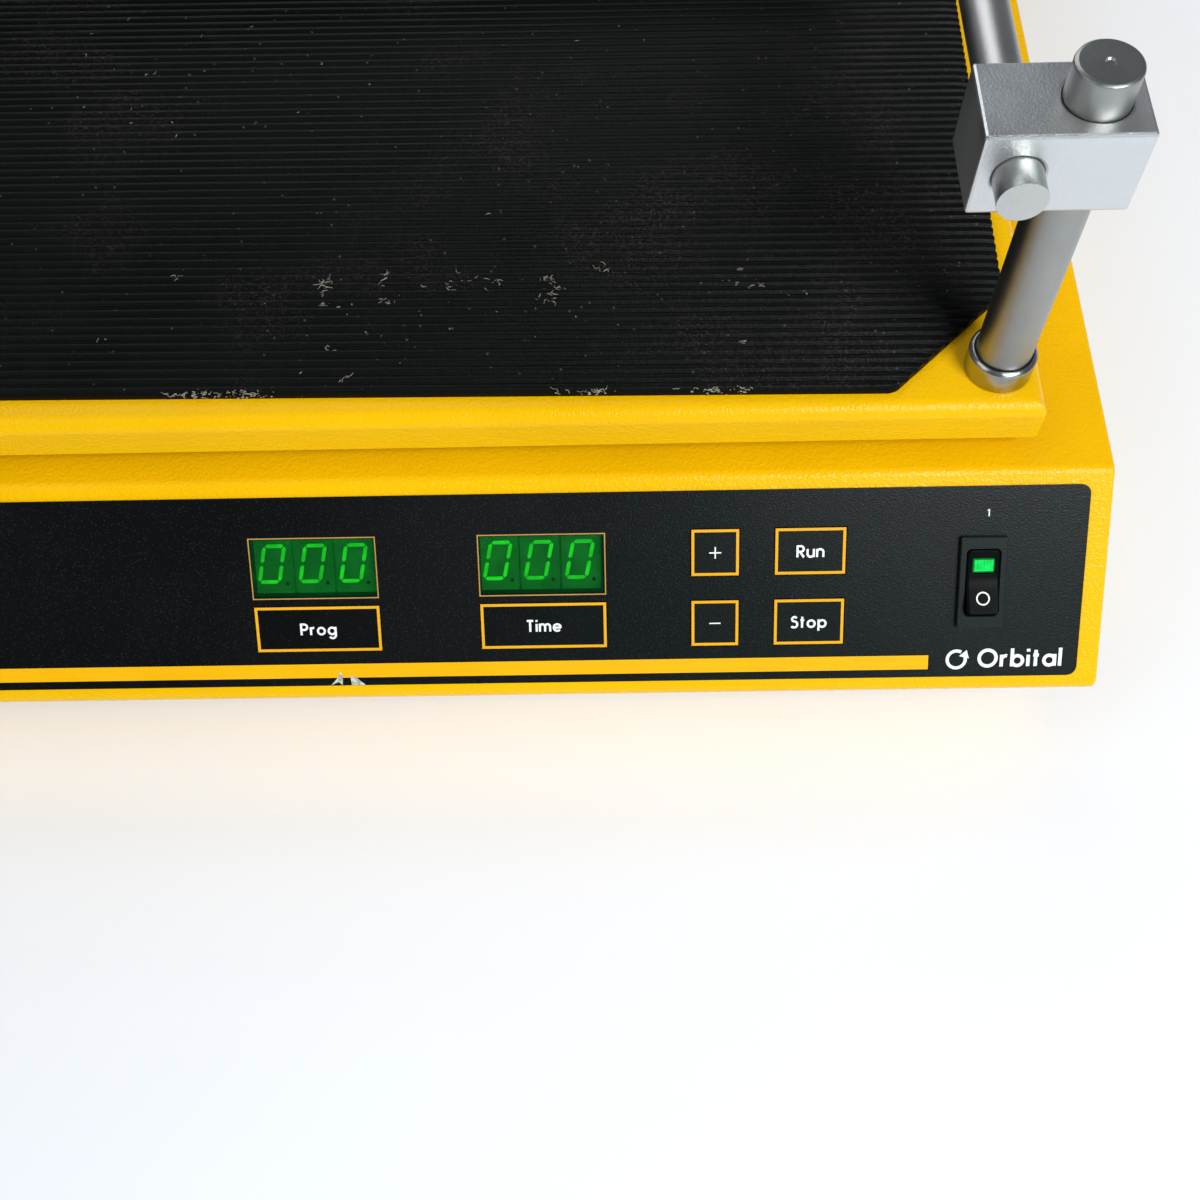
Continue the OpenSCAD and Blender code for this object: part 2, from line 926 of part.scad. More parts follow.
// The lower pin turns in the case and the upper pin, one orbit radius away, in the platform
module idler_crank(index) {
    color(steel)
        translate(idler_at(idler_corners[index])) {
            translate([0, 0, block_top - bush_h - 3])
                cylinder(d = idler_pin_d, h = bush_h + 3 + 0.1);
            translate([0, 0, block_top + 0.1])
                cylinder(d = idler_hub_d, h = crank_z - block_top - 0.1);
            translate([0, 0, crank_z])
                cylinder(d = idler_disc_d, h = crank_top - crank_z, $fn = 60);
            translate([0, -orbit_r, crank_top])
                cylinder(d = idler_pin_d, h = hub_z + hub_bearing_w - crank_top);
        }
}

seal_t = 3;

module shaft_seals() {
    z = case_top - sheet_t - 1;
    color(rubber) {
        translate([0, shaft_y, z])
            seal(shaft_d + 24, shaft_d + 2 * loose_gap);
        at_idlers()
            translate([0, 0, z])
                seal(idler_hub_d + 16, idler_hub_d + 2 * loose_gap);
    }
}

// A rubber washer with a groove that grips the edge of its hole
module seal(hole_d, inner_d) {
    difference() {
        union() {
            cylinder(d = hole_d, h = seal_t + 0.3);
            cylinder(d = hole_d + 4, h = 1);
        }
        translate([0, 0, -1])
            cylinder(d = inner_d, h = seal_t + 3);
    }
}

// ---- Platform ----
arm_w = 36;

// Places children where the platform's bearings run on the idler cranks
module at_platform_idlers() {
    at_idlers()
        translate([0, -orbit_r, 0])
            children();
}

module platform_frame() {
    arm = norm([idler_x, idler_y]);
    color("#A8ACAF")
        difference() {
            union() {
                translate([0, tray_y, frame_z])
                    for (corner = idler_corners)
                        rotate(atan2(corner.y * idler_y, corner.x * idler_x))
                            translate([0, -arm_w / 2, 0])
                                cube([arm, arm_w, frame_t]);
                translate([0, tray_y, crank_top + 0.6])
                    cylinder(d = hub_bearing_d + 14, h = tray_under - crank_top - 0.6, $fn = 72);
                at_platform_idlers()
                    translate([0, 0, crank_top + 0.6])
                        cylinder(d = boss_d, h = tray_under - crank_top - 0.6);
            }
            translate([0, tray_y, 0]) {
                translate([0, 0, crank_top])
                    cylinder(d = hub_bearing_d, h = hub_z + hub_bearing_w + 0.2 - crank_top);
                cylinder(d = journal_d, h = tray_top);
            }
            at_platform_idlers()
                translate([0, 0, crank_top])
                    cylinder(d = bush_d, h = hub_z + hub_bearing_w + 0.2 - crank_top);
            at_tray_screws()
                cylinder(d = screw_d, h = tray_top);
        }
}

module hub_bearing_ring() {
    color(steel)
        translate([0, tray_y, hub_z])
            tube(hub_bearing_d, hub_bearing_d - 2 * ring_wall, hub_bearing_w);
}

module platform_bushes() {
    color("#B58A4A")
        at_platform_idlers()
            translate([0, 0, crank_top + 0.6])
                tube(bush_d, idler_pin_d + 2 * fit_gap, hub_z + hub_bearing_w - crank_top - 0.6);
}

module at_tray_screws() {
    for (corner = idler_corners)
        translate([corner.x * idler_x * 0.6, tray_y + corner.y * idler_y * 0.6, 0])
            children();
}

tray_boss_d = 22;
tray_boss_h = 8;
stud_d = 8;

module platform_tray() {
    r = tray_bend_r;
    color(yellow)
        translate([0, tray_y, 0])
            difference() {
                union() {
                    difference() {
                        intersection() {
                            along_x(tray_w)
                                tray_section(tray_d, tray_lip, r);
                            along_y(tray_d)
                                tray_section(tray_w, tray_lip, r);
                        }
                        translate([0, 0, lip_z - 1 + (tray_lip - tray_t + 1) / 2])
                            cube([tray_w - 2 * tray_t, tray_d - 2 * tray_t, tray_lip - tray_t + 1],
                                 center = true);
                    }
                    translate([0, -tray_y, tray_under - tray_boss_h])
                        at_posts()
                            cylinder(d = tray_boss_d, h = tray_boss_h + 0.5);
                }
                translate([0, -tray_y, 0]) {
                    at_posts()
                        cylinder(d = stud_d, h = tray_top + 1);
                    at_tray_screws() {
                        cylinder(d = screw_d + 0.4, h = tray_top + 1);
                        translate([0, 0, tray_top - 1.2])
                            cylinder(d = screw_head_d + 0.4, h = 3);
                    }
                }
            }
}

// Cross-section of the tray's outside, with its two upper corners bent
module tray_section(w, h, r) {
    translate([0, lip_z])
        polygon(rounded([[-w / 2, 0], [-w / 2, h], [w / 2, h], [w / 2, 0]], [0, r, r, 0]));
}

module tray_screws() {
    color(steel)
        at_tray_screws() {
            translate([0, 0, tray_top - 1.2])
                cylinder(d = screw_head_d, h = 1);
            translate([0, 0, frame_z])
                cylinder(d = screw_d - 2 * fit_gap, h = tray_top - 1.2 - frame_z);
        }
}

module rubber_mat() {
    w = tray_w - 2 * mat_side_margin;
    d = tray_d - mat_front_margin - mat_side_margin;
    c = mat_chamfer;
    outline = [
        [-w / 2 + c, -d / 2], [-w / 2, -d / 2 + c], [-w / 2, d / 2 - c], [-w / 2 + c, d / 2],
        [w / 2 - c, d / 2], [w / 2, d / 2 - c], [w / 2, -d / 2 + c], [w / 2 - c, -d / 2]
    ];
    color(rubber)
        translate([0, tray_y + (mat_front_margin - mat_side_margin) / 2, tray_top])
            rotate(-mat_skew)
                linear_extrude(mat_t)
                    polygon(rounded(outline, [for (i = [0 : 7]) 4]));
}

// ---- Holding frame ----
module posts() {
    color(steel)
        at_posts() {
            translate([0, 0, tray_top])
                cylinder(d = post_d, h = post_h - 1);
            translate([0, 0, tray_top + post_h - 1])
                cylinder(d1 = post_d, d2 = post_d - 2, h = 1, $fn = 48);
            translate([0, 0, tray_under - tray_boss_h])
                cylinder(d = stud_d, h = tray_boss_h + tray_t);
        }
}

module post_collars() {
    color("#D8DADC")
        at_posts()
            translate([0, 0, tray_top])
                tube(collar_d, post_d, collar_h);
}

module rail_clamps() {
    width = post_x - rail_x + post_d / 2 + rail_d / 2 + 8;
    color("#8C9094")
        difference() {
            for (side = [-1, 1], y = [post_front_y, post_rear_y])
                translate([side * (post_x + post_d / 2 + rail_x - rail_d / 2) / 2, y, rail_z])
                    cube([width, clamp_depth, clamp_h], center = true);
            at_posts()
                translate([0, 0, rail_z - clamp_h])
                    cylinder(d = post_d + 2 * fit_gap, h = 2 * clamp_h);
            at_rails()
                cylinder(d = rail_d, h = tray_d, center = true);
        }
}

module at_rails() {
    for (side = [-1, 1])
        translate([side * rail_x, tray_y, rail_z])
            rotate([90, 0, 0])
                children();
}

module side_rails() {
    length = post_rear_y - post_front_y + clamp_depth + 2 * rail_over;
    color(steel)
        at_rails()
            cylinder(d = rail_d, h = length, center = true);
}

module clamp_bar(y) {
    color(steel)
        translate([0, y, bar_z])
            rotate([0, 90, 0])
                difference() {
                    cylinder(d = bar_d, h = 2 * rail_x + end_block_w - 4, center = true);
                    cylinder(d = bar_d - 3, h = 2 * rail_x + end_block_w, center = true);
                }
}

module bar_sleeve(y) {
    length = 2 * rail_x - end_block_w - 4;
    color(rubber)
        translate([0, y, bar_z])
            rotate([0, 90, 0])
                translate([0, 0, -length / 2])
                    tube(sleeve_d, bar_d, length);
}

module bar_ends(y) {
    top = rail_d / 2 + 7;
    bottom = bar_drop + bar_d / 2 + 4;
    color("#8C9094")
        difference() {
            for (side = [-1, 1])
                translate([side * rail_x, y, rail_z + (top - bottom) / 2])
                    cube([end_block_w, end_block_w, top + bottom], center = true);
            translate([0, y, bar_z])
                rotate([0, 90, 0])
                    cylinder(d = bar_d, h = 2 * rail_x + end_block_w - 4, center = true);
            at_rails()
                cylinder(d = rail_d + 2 * fit_gap, h = 3 * tray_d, center = true);
            translate([rail_x, y, rail_z])
                cylinder(d = thumb_d + 2 * fit_gap, h = 40);
        }
}

module thumb_screw(y) {
    knob_z = rail_d / 2 + 7 + 3;
    color("#17181A")
        translate([rail_x, y, rail_z + knob_z])
            difference() {
                cylinder(d = thumb_knob_d, h = thumb_knob_h);
                for (a = [0 : 30 : 330])
                    rotate(a)
                        translate([thumb_knob_d / 2 + 1, 0, -1])
                            cylinder(d = 4, h = thumb_knob_h + 2, $fn = 20);
            }
    color(steel)
        translate([rail_x, y, rail_z + rail_d / 2 + 0.2])
            cylinder(d = thumb_d, h = knob_z - rail_d / 2 - 0.2);
}

base_plate();
housing();
rear_panel();
rubber_feet();
foot_screws();
housing_screws();
front_label();
display_windows();
digit_displays();
control_board();
board_standoffs();
key_switches();
key(0);  // key_prog
key(1);  // key_time
key(2);  // key_plus
key(3);  // key_minus
key(4);  // key_run
key(5);  // key_stop
switch_bezel();
switch_rocker();
switch_lens();
power_inlet();
fuse_drawer();
power_supply();
motor();
motor_bracket();
motor_shaft();
motor_pulley();
drive_belt();
main_bearing_housing();
bearing_outer_rings();
bearing_inner_rings();
main_shaft();
drive_pulley();
counterweight();
idler_blocks();
idler_bushes();
idler_crank(0);  // idler_crank_fl
idler_crank(1);  // idler_crank_fr
idler_crank(2);  // idler_crank_rl
idler_crank(3);  // idler_crank_rr
shaft_seals();
platform_frame();
hub_bearing_ring();
platform_bushes();
platform_tray();
tray_screws();
rubber_mat();
posts();
post_collars();
rail_clamps();
side_rails();
clamp_bar(bar_front_y);  // clamp_bar_front
clamp_bar(bar_rear_y);  // clamp_bar_rear
bar_sleeve(bar_front_y);  // bar_sleeve_front
bar_sleeve(bar_rear_y);  // bar_sleeve_rear
bar_ends(bar_front_y);  // bar_ends_front
bar_ends(bar_rear_y);  // bar_ends_rear
thumb_screw(bar_front_y);  // thumb_screw_front
thumb_screw(bar_rear_y);  // thumb_screw_rear
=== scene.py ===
"""A laboratory orbital shaker: detailed pieces and finishes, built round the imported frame.

Sizes are in millimetres in the tables and shapes, and in metres on the finished meshes,
in the settings and in the finishes.
The origin is on the bench under the middle of the case; +Z is up and the console faces -Y.
"""

import json
import math
import random

import bpy
from bpy.props import FloatProperty, FloatVectorProperty, IntProperty, PointerProperty
from mathutils import Matrix, Vector, noise
from mathutils.geometry import tessellate_polygon


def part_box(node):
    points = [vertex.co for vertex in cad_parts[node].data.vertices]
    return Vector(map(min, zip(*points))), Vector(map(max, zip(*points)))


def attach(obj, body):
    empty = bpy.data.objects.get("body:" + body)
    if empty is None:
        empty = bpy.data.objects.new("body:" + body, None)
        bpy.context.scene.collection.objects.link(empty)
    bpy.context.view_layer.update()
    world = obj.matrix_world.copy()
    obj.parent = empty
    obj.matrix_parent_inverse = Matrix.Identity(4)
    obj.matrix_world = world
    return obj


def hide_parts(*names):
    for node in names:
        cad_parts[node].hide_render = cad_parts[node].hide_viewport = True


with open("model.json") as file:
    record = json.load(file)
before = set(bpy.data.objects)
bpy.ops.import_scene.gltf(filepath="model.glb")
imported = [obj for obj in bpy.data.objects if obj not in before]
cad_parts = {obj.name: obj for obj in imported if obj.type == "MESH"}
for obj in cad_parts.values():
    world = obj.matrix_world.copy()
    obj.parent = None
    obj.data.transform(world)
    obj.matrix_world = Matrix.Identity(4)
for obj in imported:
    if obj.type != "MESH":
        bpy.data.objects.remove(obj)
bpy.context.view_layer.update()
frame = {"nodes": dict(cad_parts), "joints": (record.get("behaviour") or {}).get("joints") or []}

bl_info = {
    "name": "Laboratory orbital shaker",
    "version": (1, 0, 0),
    "blender": (4, 5, 0),
    "location": "3D View > Sidebar > Shaker",
    "description": "Builds the detailed pieces and finishes of an orbital platform shaker",
    "category": "Object",
}

MM = 0.001
SLOPE = math.radians(45)

# ---- Console layout: X from the label's right edge, Y up the slope from its bottom ----
LABEL_T = 0.5
LABEL_H = 60.8
LABEL_CORNER = 3.0
YELLOW_BELOW_LABEL = 5.4
WINDOW_W, WINDOW_H = 39.1, 19.4
WINDOW_Y = 29.0
WINDOW_X = (-255.2, -185.0)
MODULE_W, MODULE_H, MODULE_D = 12.7, 19.05, 8.0
MODULE_FACE = -4.3             # depth of the modules' faces below the slope
MODULE_SHIFT = -0.85           # the modules stand a little left in their windows
DIGIT_SHIFT = -0.35            # and their digits a little left on their faces
DIGIT_LEAN = math.radians(12)
KEY_H = 14.8
KEY_T = 1.6
KEY_GAP = 0.3                  # between a key and the edge of the case's opening
KEYS = {                       # left edge, bottom edge, width, legend
    "key_prog": (-255.2, 11.4, 39.1, "Prog"),
    "key_time": (-185.0, 11.4, 39.1, "Time"),
    "key_plus": (-119.8, 34.0, 14.7, "+"),
    "key_minus": (-119.8, 11.4, 14.7, "-"),
    "key_run": (-94.3, 34.0, 21.6, "Run"),
    "key_stop": (-94.3, 11.4, 21.6, "Stop"),
}
SWITCH_X, SWITCH_Y = -31.3, 31.0
BEZEL_W, BEZEL_H, BEZEL_T = 14.2, 29.0, 2.0
SWITCH_HOLE = (BEZEL_W - 1.2, BEZEL_H - 1.8)
ROCKER_W = BEZEL_W - 4.4
ROCKER_HALF = BEZEL_H / 2 - 4.6
ROCKER_TOP = 2.6               # the rocker's middle above its pivot
ROCKER_TILT = math.radians(10)
LENS_W, LENS_H, LENS_Y = 6.7, 4.5, 5.6
LENS_GAP = 0.1
STRIPE = (2.6, 7.2, -46.1)     # bottom, top and right end
SWITCH_MARK = (-30.3, 52.5)    # the 1 over the switch
SIGN_X, SIGN_Y, SIGN_R = -37.4, 5.7, 2.8
WORD_X, WORD_Y, WORD_H = -17.9, 6.0, 5.7
KEY_LINE, KEY_MARGIN = 0.86, 0.12      # each key's printed frame: its line and its margin
WINDOW_LINE = 0.36
OFF_RING_Y, OFF_RING_R, OFF_RING_LINE = -5.1, 1.85, 0.46
POINT_R, POINT_X, POINT_Y = 0.6, 3.9, -6.4     # the decimal point of each digit
INK_T = 0.03
INK_STEP = 0.004               # each stroke lies this much over the last, so none coincide

# ---- Sheet metal ----
SHEET_T = 1.5
CASE_BEND = 4.0
SIDE_BEND = 1.4
INNER_BEND = 0.2
TRAY_T = 2.0
TRAY_BEND = 4.5
TRAY_LIP = 14.5
TRAY_CORNER = 1.2
TRAY_SPREAD = 0.9              # the folded tray's extra width on each side
CRANK_HOLE_R, IDLER_HOLE_R = 22.0, 17.0

# ---- Platform fittings and feet ----
MAT_W, MAT_D, MAT_CUT = 438.6, 435.8, 35.0
MAT_SKEW, MAT_SHIFT = math.radians(0.74), 0.4
MAT_EDGE = 1.8                 # rounding at the ends of the mat's front and rear ribs
POST_R, STUD_R = 8.0, 4.0
COLLAR_R, COLLAR_BORE, COLLAR_H = 9.8, 8.05, 8.3
FOOT_R = 16.0
SLEEVE_BORE, SLEEVE_RINGS = 7.02, 24
KNOB_H, KNOB_FLUTES = 10.0, 12
CASE_SCREWS = (-0.28, 0.04, 0.36)    # their places along each side, as shares of its depth


def box(node):
    """Lowest and highest corner of a CAD node, in millimetres."""
    low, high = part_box(node)
    return low / MM, high / MM


def console_place():
    """The label's lower right corner on the sheet: X right, Y up the slope, Z out of it."""
    low, high = box("front_label")
    corner = Vector((high.x, low.y + LABEL_T * math.sin(SLOPE), low.z))
    return Matrix.Translation(corner) @ Matrix.Rotation(SLOPE, 4, "X")


CONSOLE = console_place()
ROCKER = (CONSOLE @ Matrix.Translation((SWITCH_X, SWITCH_Y, 0))
          @ Matrix.Rotation(-ROCKER_TILT, 4, "X"))


# ---- Sizes and colours that a user would change ----

class ShakerPaint(bpy.types.PropertyGroup):
    """The painted sheet metal"""
    yellow: FloatVectorProperty(
        name="Yellow", description="Colour of the case's and tray's powder coat",
        subtype="COLOR", default=(0.90, 0.495, 0.001), min=0, max=1)
    peel_size: FloatProperty(
        name="Peel size", description="Distance between the bumps of the powder coat",
        subtype="DISTANCE", unit="LENGTH", default=0.0011, min=0.0003, max=0.005)
    peel_depth: FloatProperty(
        name="Peel depth", description="Height of the bumps of the powder coat",
        subtype="DISTANCE", unit="LENGTH", default=0.00022, min=0, max=0.001)


class ShakerMat(bpy.types.PropertyGroup):
    """The ribbed rubber mat"""
    rib_pitch: FloatProperty(
        name="Rib pitch", description="Distance from one rib to the next",
        subtype="DISTANCE", unit="LENGTH", default=0.0032, min=0.001, max=0.01)
    rib_depth: FloatProperty(
        name="Rib depth", description="Depth of the grooves between ribs",
        subtype="DISTANCE", unit="LENGTH", default=0.0010, min=0, max=0.002)
    columns: IntProperty(
        name="Columns", description="Steps along each rib", default=96, min=8, max=400)


class ShakerConsole(bpy.types.PropertyGroup):
    """The printed console"""
    legend_height: FloatProperty(
        name="Legend height", description="Height of the capital letters on the keys",
        subtype="DISTANCE", unit="LENGTH", default=0.0038, min=0.001, max=0.008)
    legend_weight: FloatProperty(
        name="Legend weight", description="Width of the strokes of the legends",
        subtype="DISTANCE", unit="LENGTH", default=0.00066, min=0.0001, max=0.002)
    digit_colour: FloatVectorProperty(
        name="Digit colour", description="Light of the lit segments",
        subtype="COLOR", default=(0.012, 0.62, 0.012), min=0, max=1)


class ShakerStage(bpy.types.PropertyGroup):
    """The floor, lights and camera"""
    camera_place: FloatVectorProperty(
        name="Camera place", description="Where the camera stands",
        subtype="TRANSLATION", unit="LENGTH", default=(0.10355, -0.4435, 0.4497))
    lens: FloatProperty(
        name="Lens", description="Focal length",
        subtype="DISTANCE_CAMERA", unit="CAMERA", default=41.745, min=10, max=200)
    down: FloatProperty(
        name="Looks down", description="Angle of the view below the horizon",
        subtype="ANGLE", unit="ROTATION", default=math.radians(62.29))
    turn: FloatProperty(
        name="Turn", description="Turn of the view to the right",
        subtype="ANGLE", unit="ROTATION", default=math.radians(-2.38))
    roll: FloatProperty(
        name="Roll", description="Tilt of the camera about its own axis",
        subtype="ANGLE", unit="ROTATION", default=math.radians(3.0))
    key_light: FloatProperty(
        name="Key light", description="Strength of the large soft light",
        subtype="POWER", unit="POWER", default=27, min=0, max=1000)
    shift: FloatVectorProperty(
        name="Lens shift", description="Sideways and upward shift, in picture widths",
        size=2, default=(-0.0005, 0.0012), precision=4)
    floor: FloatVectorProperty(
        name="Floor", description="Colour of the floor",
        subtype="COLOR", default=(0.925, 0.945, 1.0), min=0, max=1)


# ---- Outlines ----

def corner_arc(before, corner, after, radius, steps):
    """Points of one rounded corner of an outline, in order."""
    if radius <= 0:
        return [corner.copy()]
    a, b = (before - corner).normalized(), (after - corner).normalized()
    half = math.acos(max(-1.0, min(1.0, a.dot(b)))) / 2
    centre = corner + (a + b).normalized() * radius / math.sin(half)
    start = corner + a * radius / math.tan(half) - centre
    side = a.x * b.y - a.y * b.x
    sweep = (math.pi - 2 * half) * (-1 if side > 0 else 1)
    points = []
    for i in range(steps + 1):
        g = sweep * i / steps
        points.append(centre + Vector((start.x * math.cos(g) - start.y * math.sin(g),
                                       start.x * math.sin(g) + start.y * math.cos(g))))
    return points


def rounded(points, radii, steps=8):
    """The outline with corner i rounded to radii[i]."""
    n = len(points)
    return [p for i in range(n)
            for p in corner_arc(points[i - 1], points[i], points[(i + 1) % n], radii[i], steps)]


def rectangle(w, h, radius=0.0, steps=6, x=0.0, y=0.0):
    """Outline of a rectangle round (x, y), anticlockwise."""
    corners = [Vector((x + sx * w / 2, y + sy * h / 2))
               for sx, sy in ((-1, -1), (1, -1), (1, 1), (-1, 1))]
    return rounded(corners, [radius] * 4, steps)


def circle(radius, steps=48, x=0.0, y=0.0):
    """Outline of a circle round (x, y), anticlockwise."""
    return [Vector((x + radius * math.cos(2 * math.pi * i / steps),
                    y + radius * math.sin(2 * math.pi * i / steps))) for i in range(steps)]


def hexagon(across, steps=48, x=0.0, y=0.0):
    """A hexagon with as many points as a circle, so that the two can be joined."""
    points = []
    for i in range(steps):
        g = 2 * math.pi * i / steps
        lean = (g % (math.pi / 3)) - math.pi / 6
        r = across / 2 / math.cos(lean)
        points.append(Vector((x + r * math.cos(g), y + r * math.sin(g))))
    return points


def offset(points, distances):
    """An anticlockwise outline with edge i, from point i to the next, moved inwards."""
    n, lines, moved = len(points), [], []
    for i in range(n):
        p, q = points[i], points[(i + 1) % n]
        d = (q - p).normalized()
        lines.append((p + Vector((-d.y, d.x)) * distances[i], d))
    for i in range(n):
        (p, d), (q, e) = lines[i - 1], lines[i]
        cross = d.x * e.y - d.y * e.x
        t = ((q.x - p.x) * e.y - (q.y - p.y) * e.x) / cross
        moved.append(p + d * t)
    return moved


def arc(x, y, radius, start, end, steps=12):
    """Points on an arc, with its angles in degrees."""
    points = []
    for i in range(steps + 1):
        g = math.radians(start + (end - start) * i / steps)
        points.append(Vector((x + radius * math.cos(g), y + radius * math.sin(g))))
    return points


def at_height(outline, z):
    """The outline as points in space at height z."""
    return [Vector((p.x, p.y, z)) for p in outline]


# ---- Meshes ----

SHARPEST_MITRE = 0.35          # holds back the point of a stroke at a sharp turn
SHARP_ANGLE = 32               # degrees; a steeper edge stays sharp in the shading
WELD_LENGTH = 0.00001


class Shape:
    """Points and faces in millimetres. A mark is the number of the face's material."""

    def __init__(self):
        self.points, self.faces, self.marks = [], [], []

    def add(self, points, faces, mark=0):
        """Adds faces whose numbers count from the first of these points."""
        base = len(self.points)
        self.points += [Vector(p) for p in points]
        self.faces += [tuple(base + i for i in face) for face in faces]
        self.marks += [mark] * len(faces)

    def loft(self, rings, mark=0, closed=False):
        """Skin over rings of equal length, with its ends capped or joined to each other."""
        n, count = len(rings[0]), len(rings)
        faces = []
        for k in range(count if closed else count - 1):
            for i in range(n):
                j, m = (i + 1) % n, (k + 1) % count
                faces.append((k * n + i, k * n + j, m * n + j, m * n + i))
        if not closed:
            faces.append(tuple(reversed(range(n))))
            faces.append(tuple((count - 1) * n + i for i in range(n)))
        self.add([p for ring in rings for p in ring], faces, mark)

    def turned(self, profile, steps=48, x=0.0, y=0.0, mark=0):
        """A solid of revolution about Z from (radius, height) pairs, bottom to top."""
        self.loft([at_height(circle(r, steps, x, y), z) for r, z in profile], mark)

    def block(self, w, d, z0, z1, x=0.0, y=0.0, radius=0.6, edge=0.3, mark=0):
        """A box with rounded corners and eased rims."""
        rings = [(edge, z0), (0, z0 + edge), (0, z1 - edge), (edge, z1)]
        self.loft([at_height(rectangle(w - 2 * e, d - 2 * e, radius, 4, x, y), z)
                   for e, z in rings], mark)

    def plate(self, outline, holes, z0, z1, mark=0):
        """A flat plate with holes through it."""
        loops = [outline] + holes
        flat = [p for loop in loops for p in loop]
        n = len(flat)
        triangles = tessellate_polygon([[p.to_3d() for p in loop] for loop in loops])
        up = sum((flat[b] - flat[a]).to_3d().cross((flat[c] - flat[a]).to_3d()).z
                 for a, b, c in triangles) > 0
        faces = []
        for a, b, c in triangles:
            a, b, c = (a, b, c) if up else (c, b, a)
            faces += [(a + n, b + n, c + n), (c, b, a)]
        base = 0
        for loop in loops:
            area = sum(p.x * q.y - q.x * p.y for p, q in zip(loop, loop[1:] + loop[:1]))
            outward = (area > 0) == (loop is outline)
            for i in range(len(loop)):
                p, q = base + i, base + (i + 1) % len(loop)
                faces.append((p, q, q + n, p + n) if outward else (q, p, p + n, q + n))
            base += len(loop)
        self.add(at_height(flat, z0) + at_height(flat, z1), faces, mark)

    def ribbon(self, line, width, z0, z1, mark=0, closed=False):
        """A flat stroke of even width along a line of points."""
        n = len(line)
        left, right = [], []
        for i, p in enumerate(line):
            before = line[i - 1] if (closed or i) else None
            after = line[(i + 1) % n] if (closed or i < n - 1) else None
            d1 = (p - before).normalized() if before is not None else (after - p).normalized()
            d2 = (after - p).normalized() if after is not None else d1
            side = Vector((-d1.y - d2.y, d1.x + d2.x)).normalized()
            reach = width / 2 / max(SHARPEST_MITRE, side.dot(Vector((-d1.y, d1.x))))
            left.append(p + side * reach)
            right.append(p - side * reach)
        rings = [[Vector((*b, z1)), Vector((*b, z0)), Vector((*a, z0)), Vector((*a, z1))]
                 for a, b in zip(left, right)]
        self.loft(rings, mark, closed=closed)

    def frame(self, x0, y0, x1, y1, width, z0, z1, mark=0):
        """A printed rectangle of four even lines, inside the given corners."""
        h = width / 2
        line = [Vector(p) for p in ((x0 + h, y0 + h), (x1 - h, y0 + h),
                                    (x1 - h, y1 - h), (x0 + h, y1 - h))]
        self.ribbon(line, width, z0, z1, mark, closed=True)

    def object(self, name, materials, place=Matrix.Identity(4), sharp=SHARP_ANGLE):
        """Makes the mesh object in metres, with its points moved by place."""
        mesh = bpy.data.meshes.new(name)
        mesh.from_pydata([(place @ p) * MM for p in self.points], [], self.faces)
        for material in materials:
            mesh.materials.append(material)
        mesh.polygons.foreach_set("material_index", self.marks)
        made = bpy.data.objects.new(name, mesh)
        bpy.context.scene.collection.objects.link(made)
        smooth(made, sharp)
        return made


def smooth(piece, sharp=SHARP_ANGLE):
    """Smooth shading with edges above an angle kept sharp."""
    mesh = piece.data
    mesh.polygons.foreach_set("use_smooth", [True] * len(mesh.polygons))
    mesh.set_sharp_from_angle(angle=math.radians(sharp))
    mesh.update()
    even = piece.modifiers.new("Even shading", "WEIGHTED_NORMAL")
    even.keep_sharp = True


def carve(piece, cutter):
    """Takes the cutter's shape out of the piece and leaves a plain mesh."""
    piece.modifiers.clear()
    cut = piece.modifiers.new("Cut", "BOOLEAN")
    cut.operation, cut.solver, cut.object = "DIFFERENCE", "EXACT", cutter
    bpy.context.view_layer.update()
    shown = piece.evaluated_get(bpy.context.evaluated_depsgraph_get())
    mesh = bpy.data.meshes.new_from_object(shown)
    piece.modifiers.clear()
    old, piece.data = piece.data, mesh
    bpy.data.meshes.remove(old)
    bpy.data.objects.remove(cutter)
    smooth(piece)


def fit(piece, body, slot=None, *nodes):
    """Puts a finished piece on its body and lets it stand for its CAD nodes."""
    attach(piece, body)
    if nodes:
        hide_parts(*nodes)


def keep(node, name, edge):
    """Gives a CAD node the finish of that name, and eases its edges with modifiers."""
    piece = frame["nodes"][node]
    piece.data.materials.clear()
    piece.data.materials.append(finish(name))
    weld = piece.modifiers.new("Weld", "WELD")
    weld.merge_threshold = WELD_LENGTH
    ease = piece.modifiers.new("Eased edges", "BEVEL")
    ease.limit_method, ease.angle_limit = "ANGLE", math.radians(SHARP_ANGLE)
    ease.width, ease.segments = edge * MM, 2
    ease.use_clamp_overlap = True
    even = piece.modifiers.new("Even shading", "WEIGHTED_NORMAL")
    even.keep_sharp = True


# ---- Shader building ----

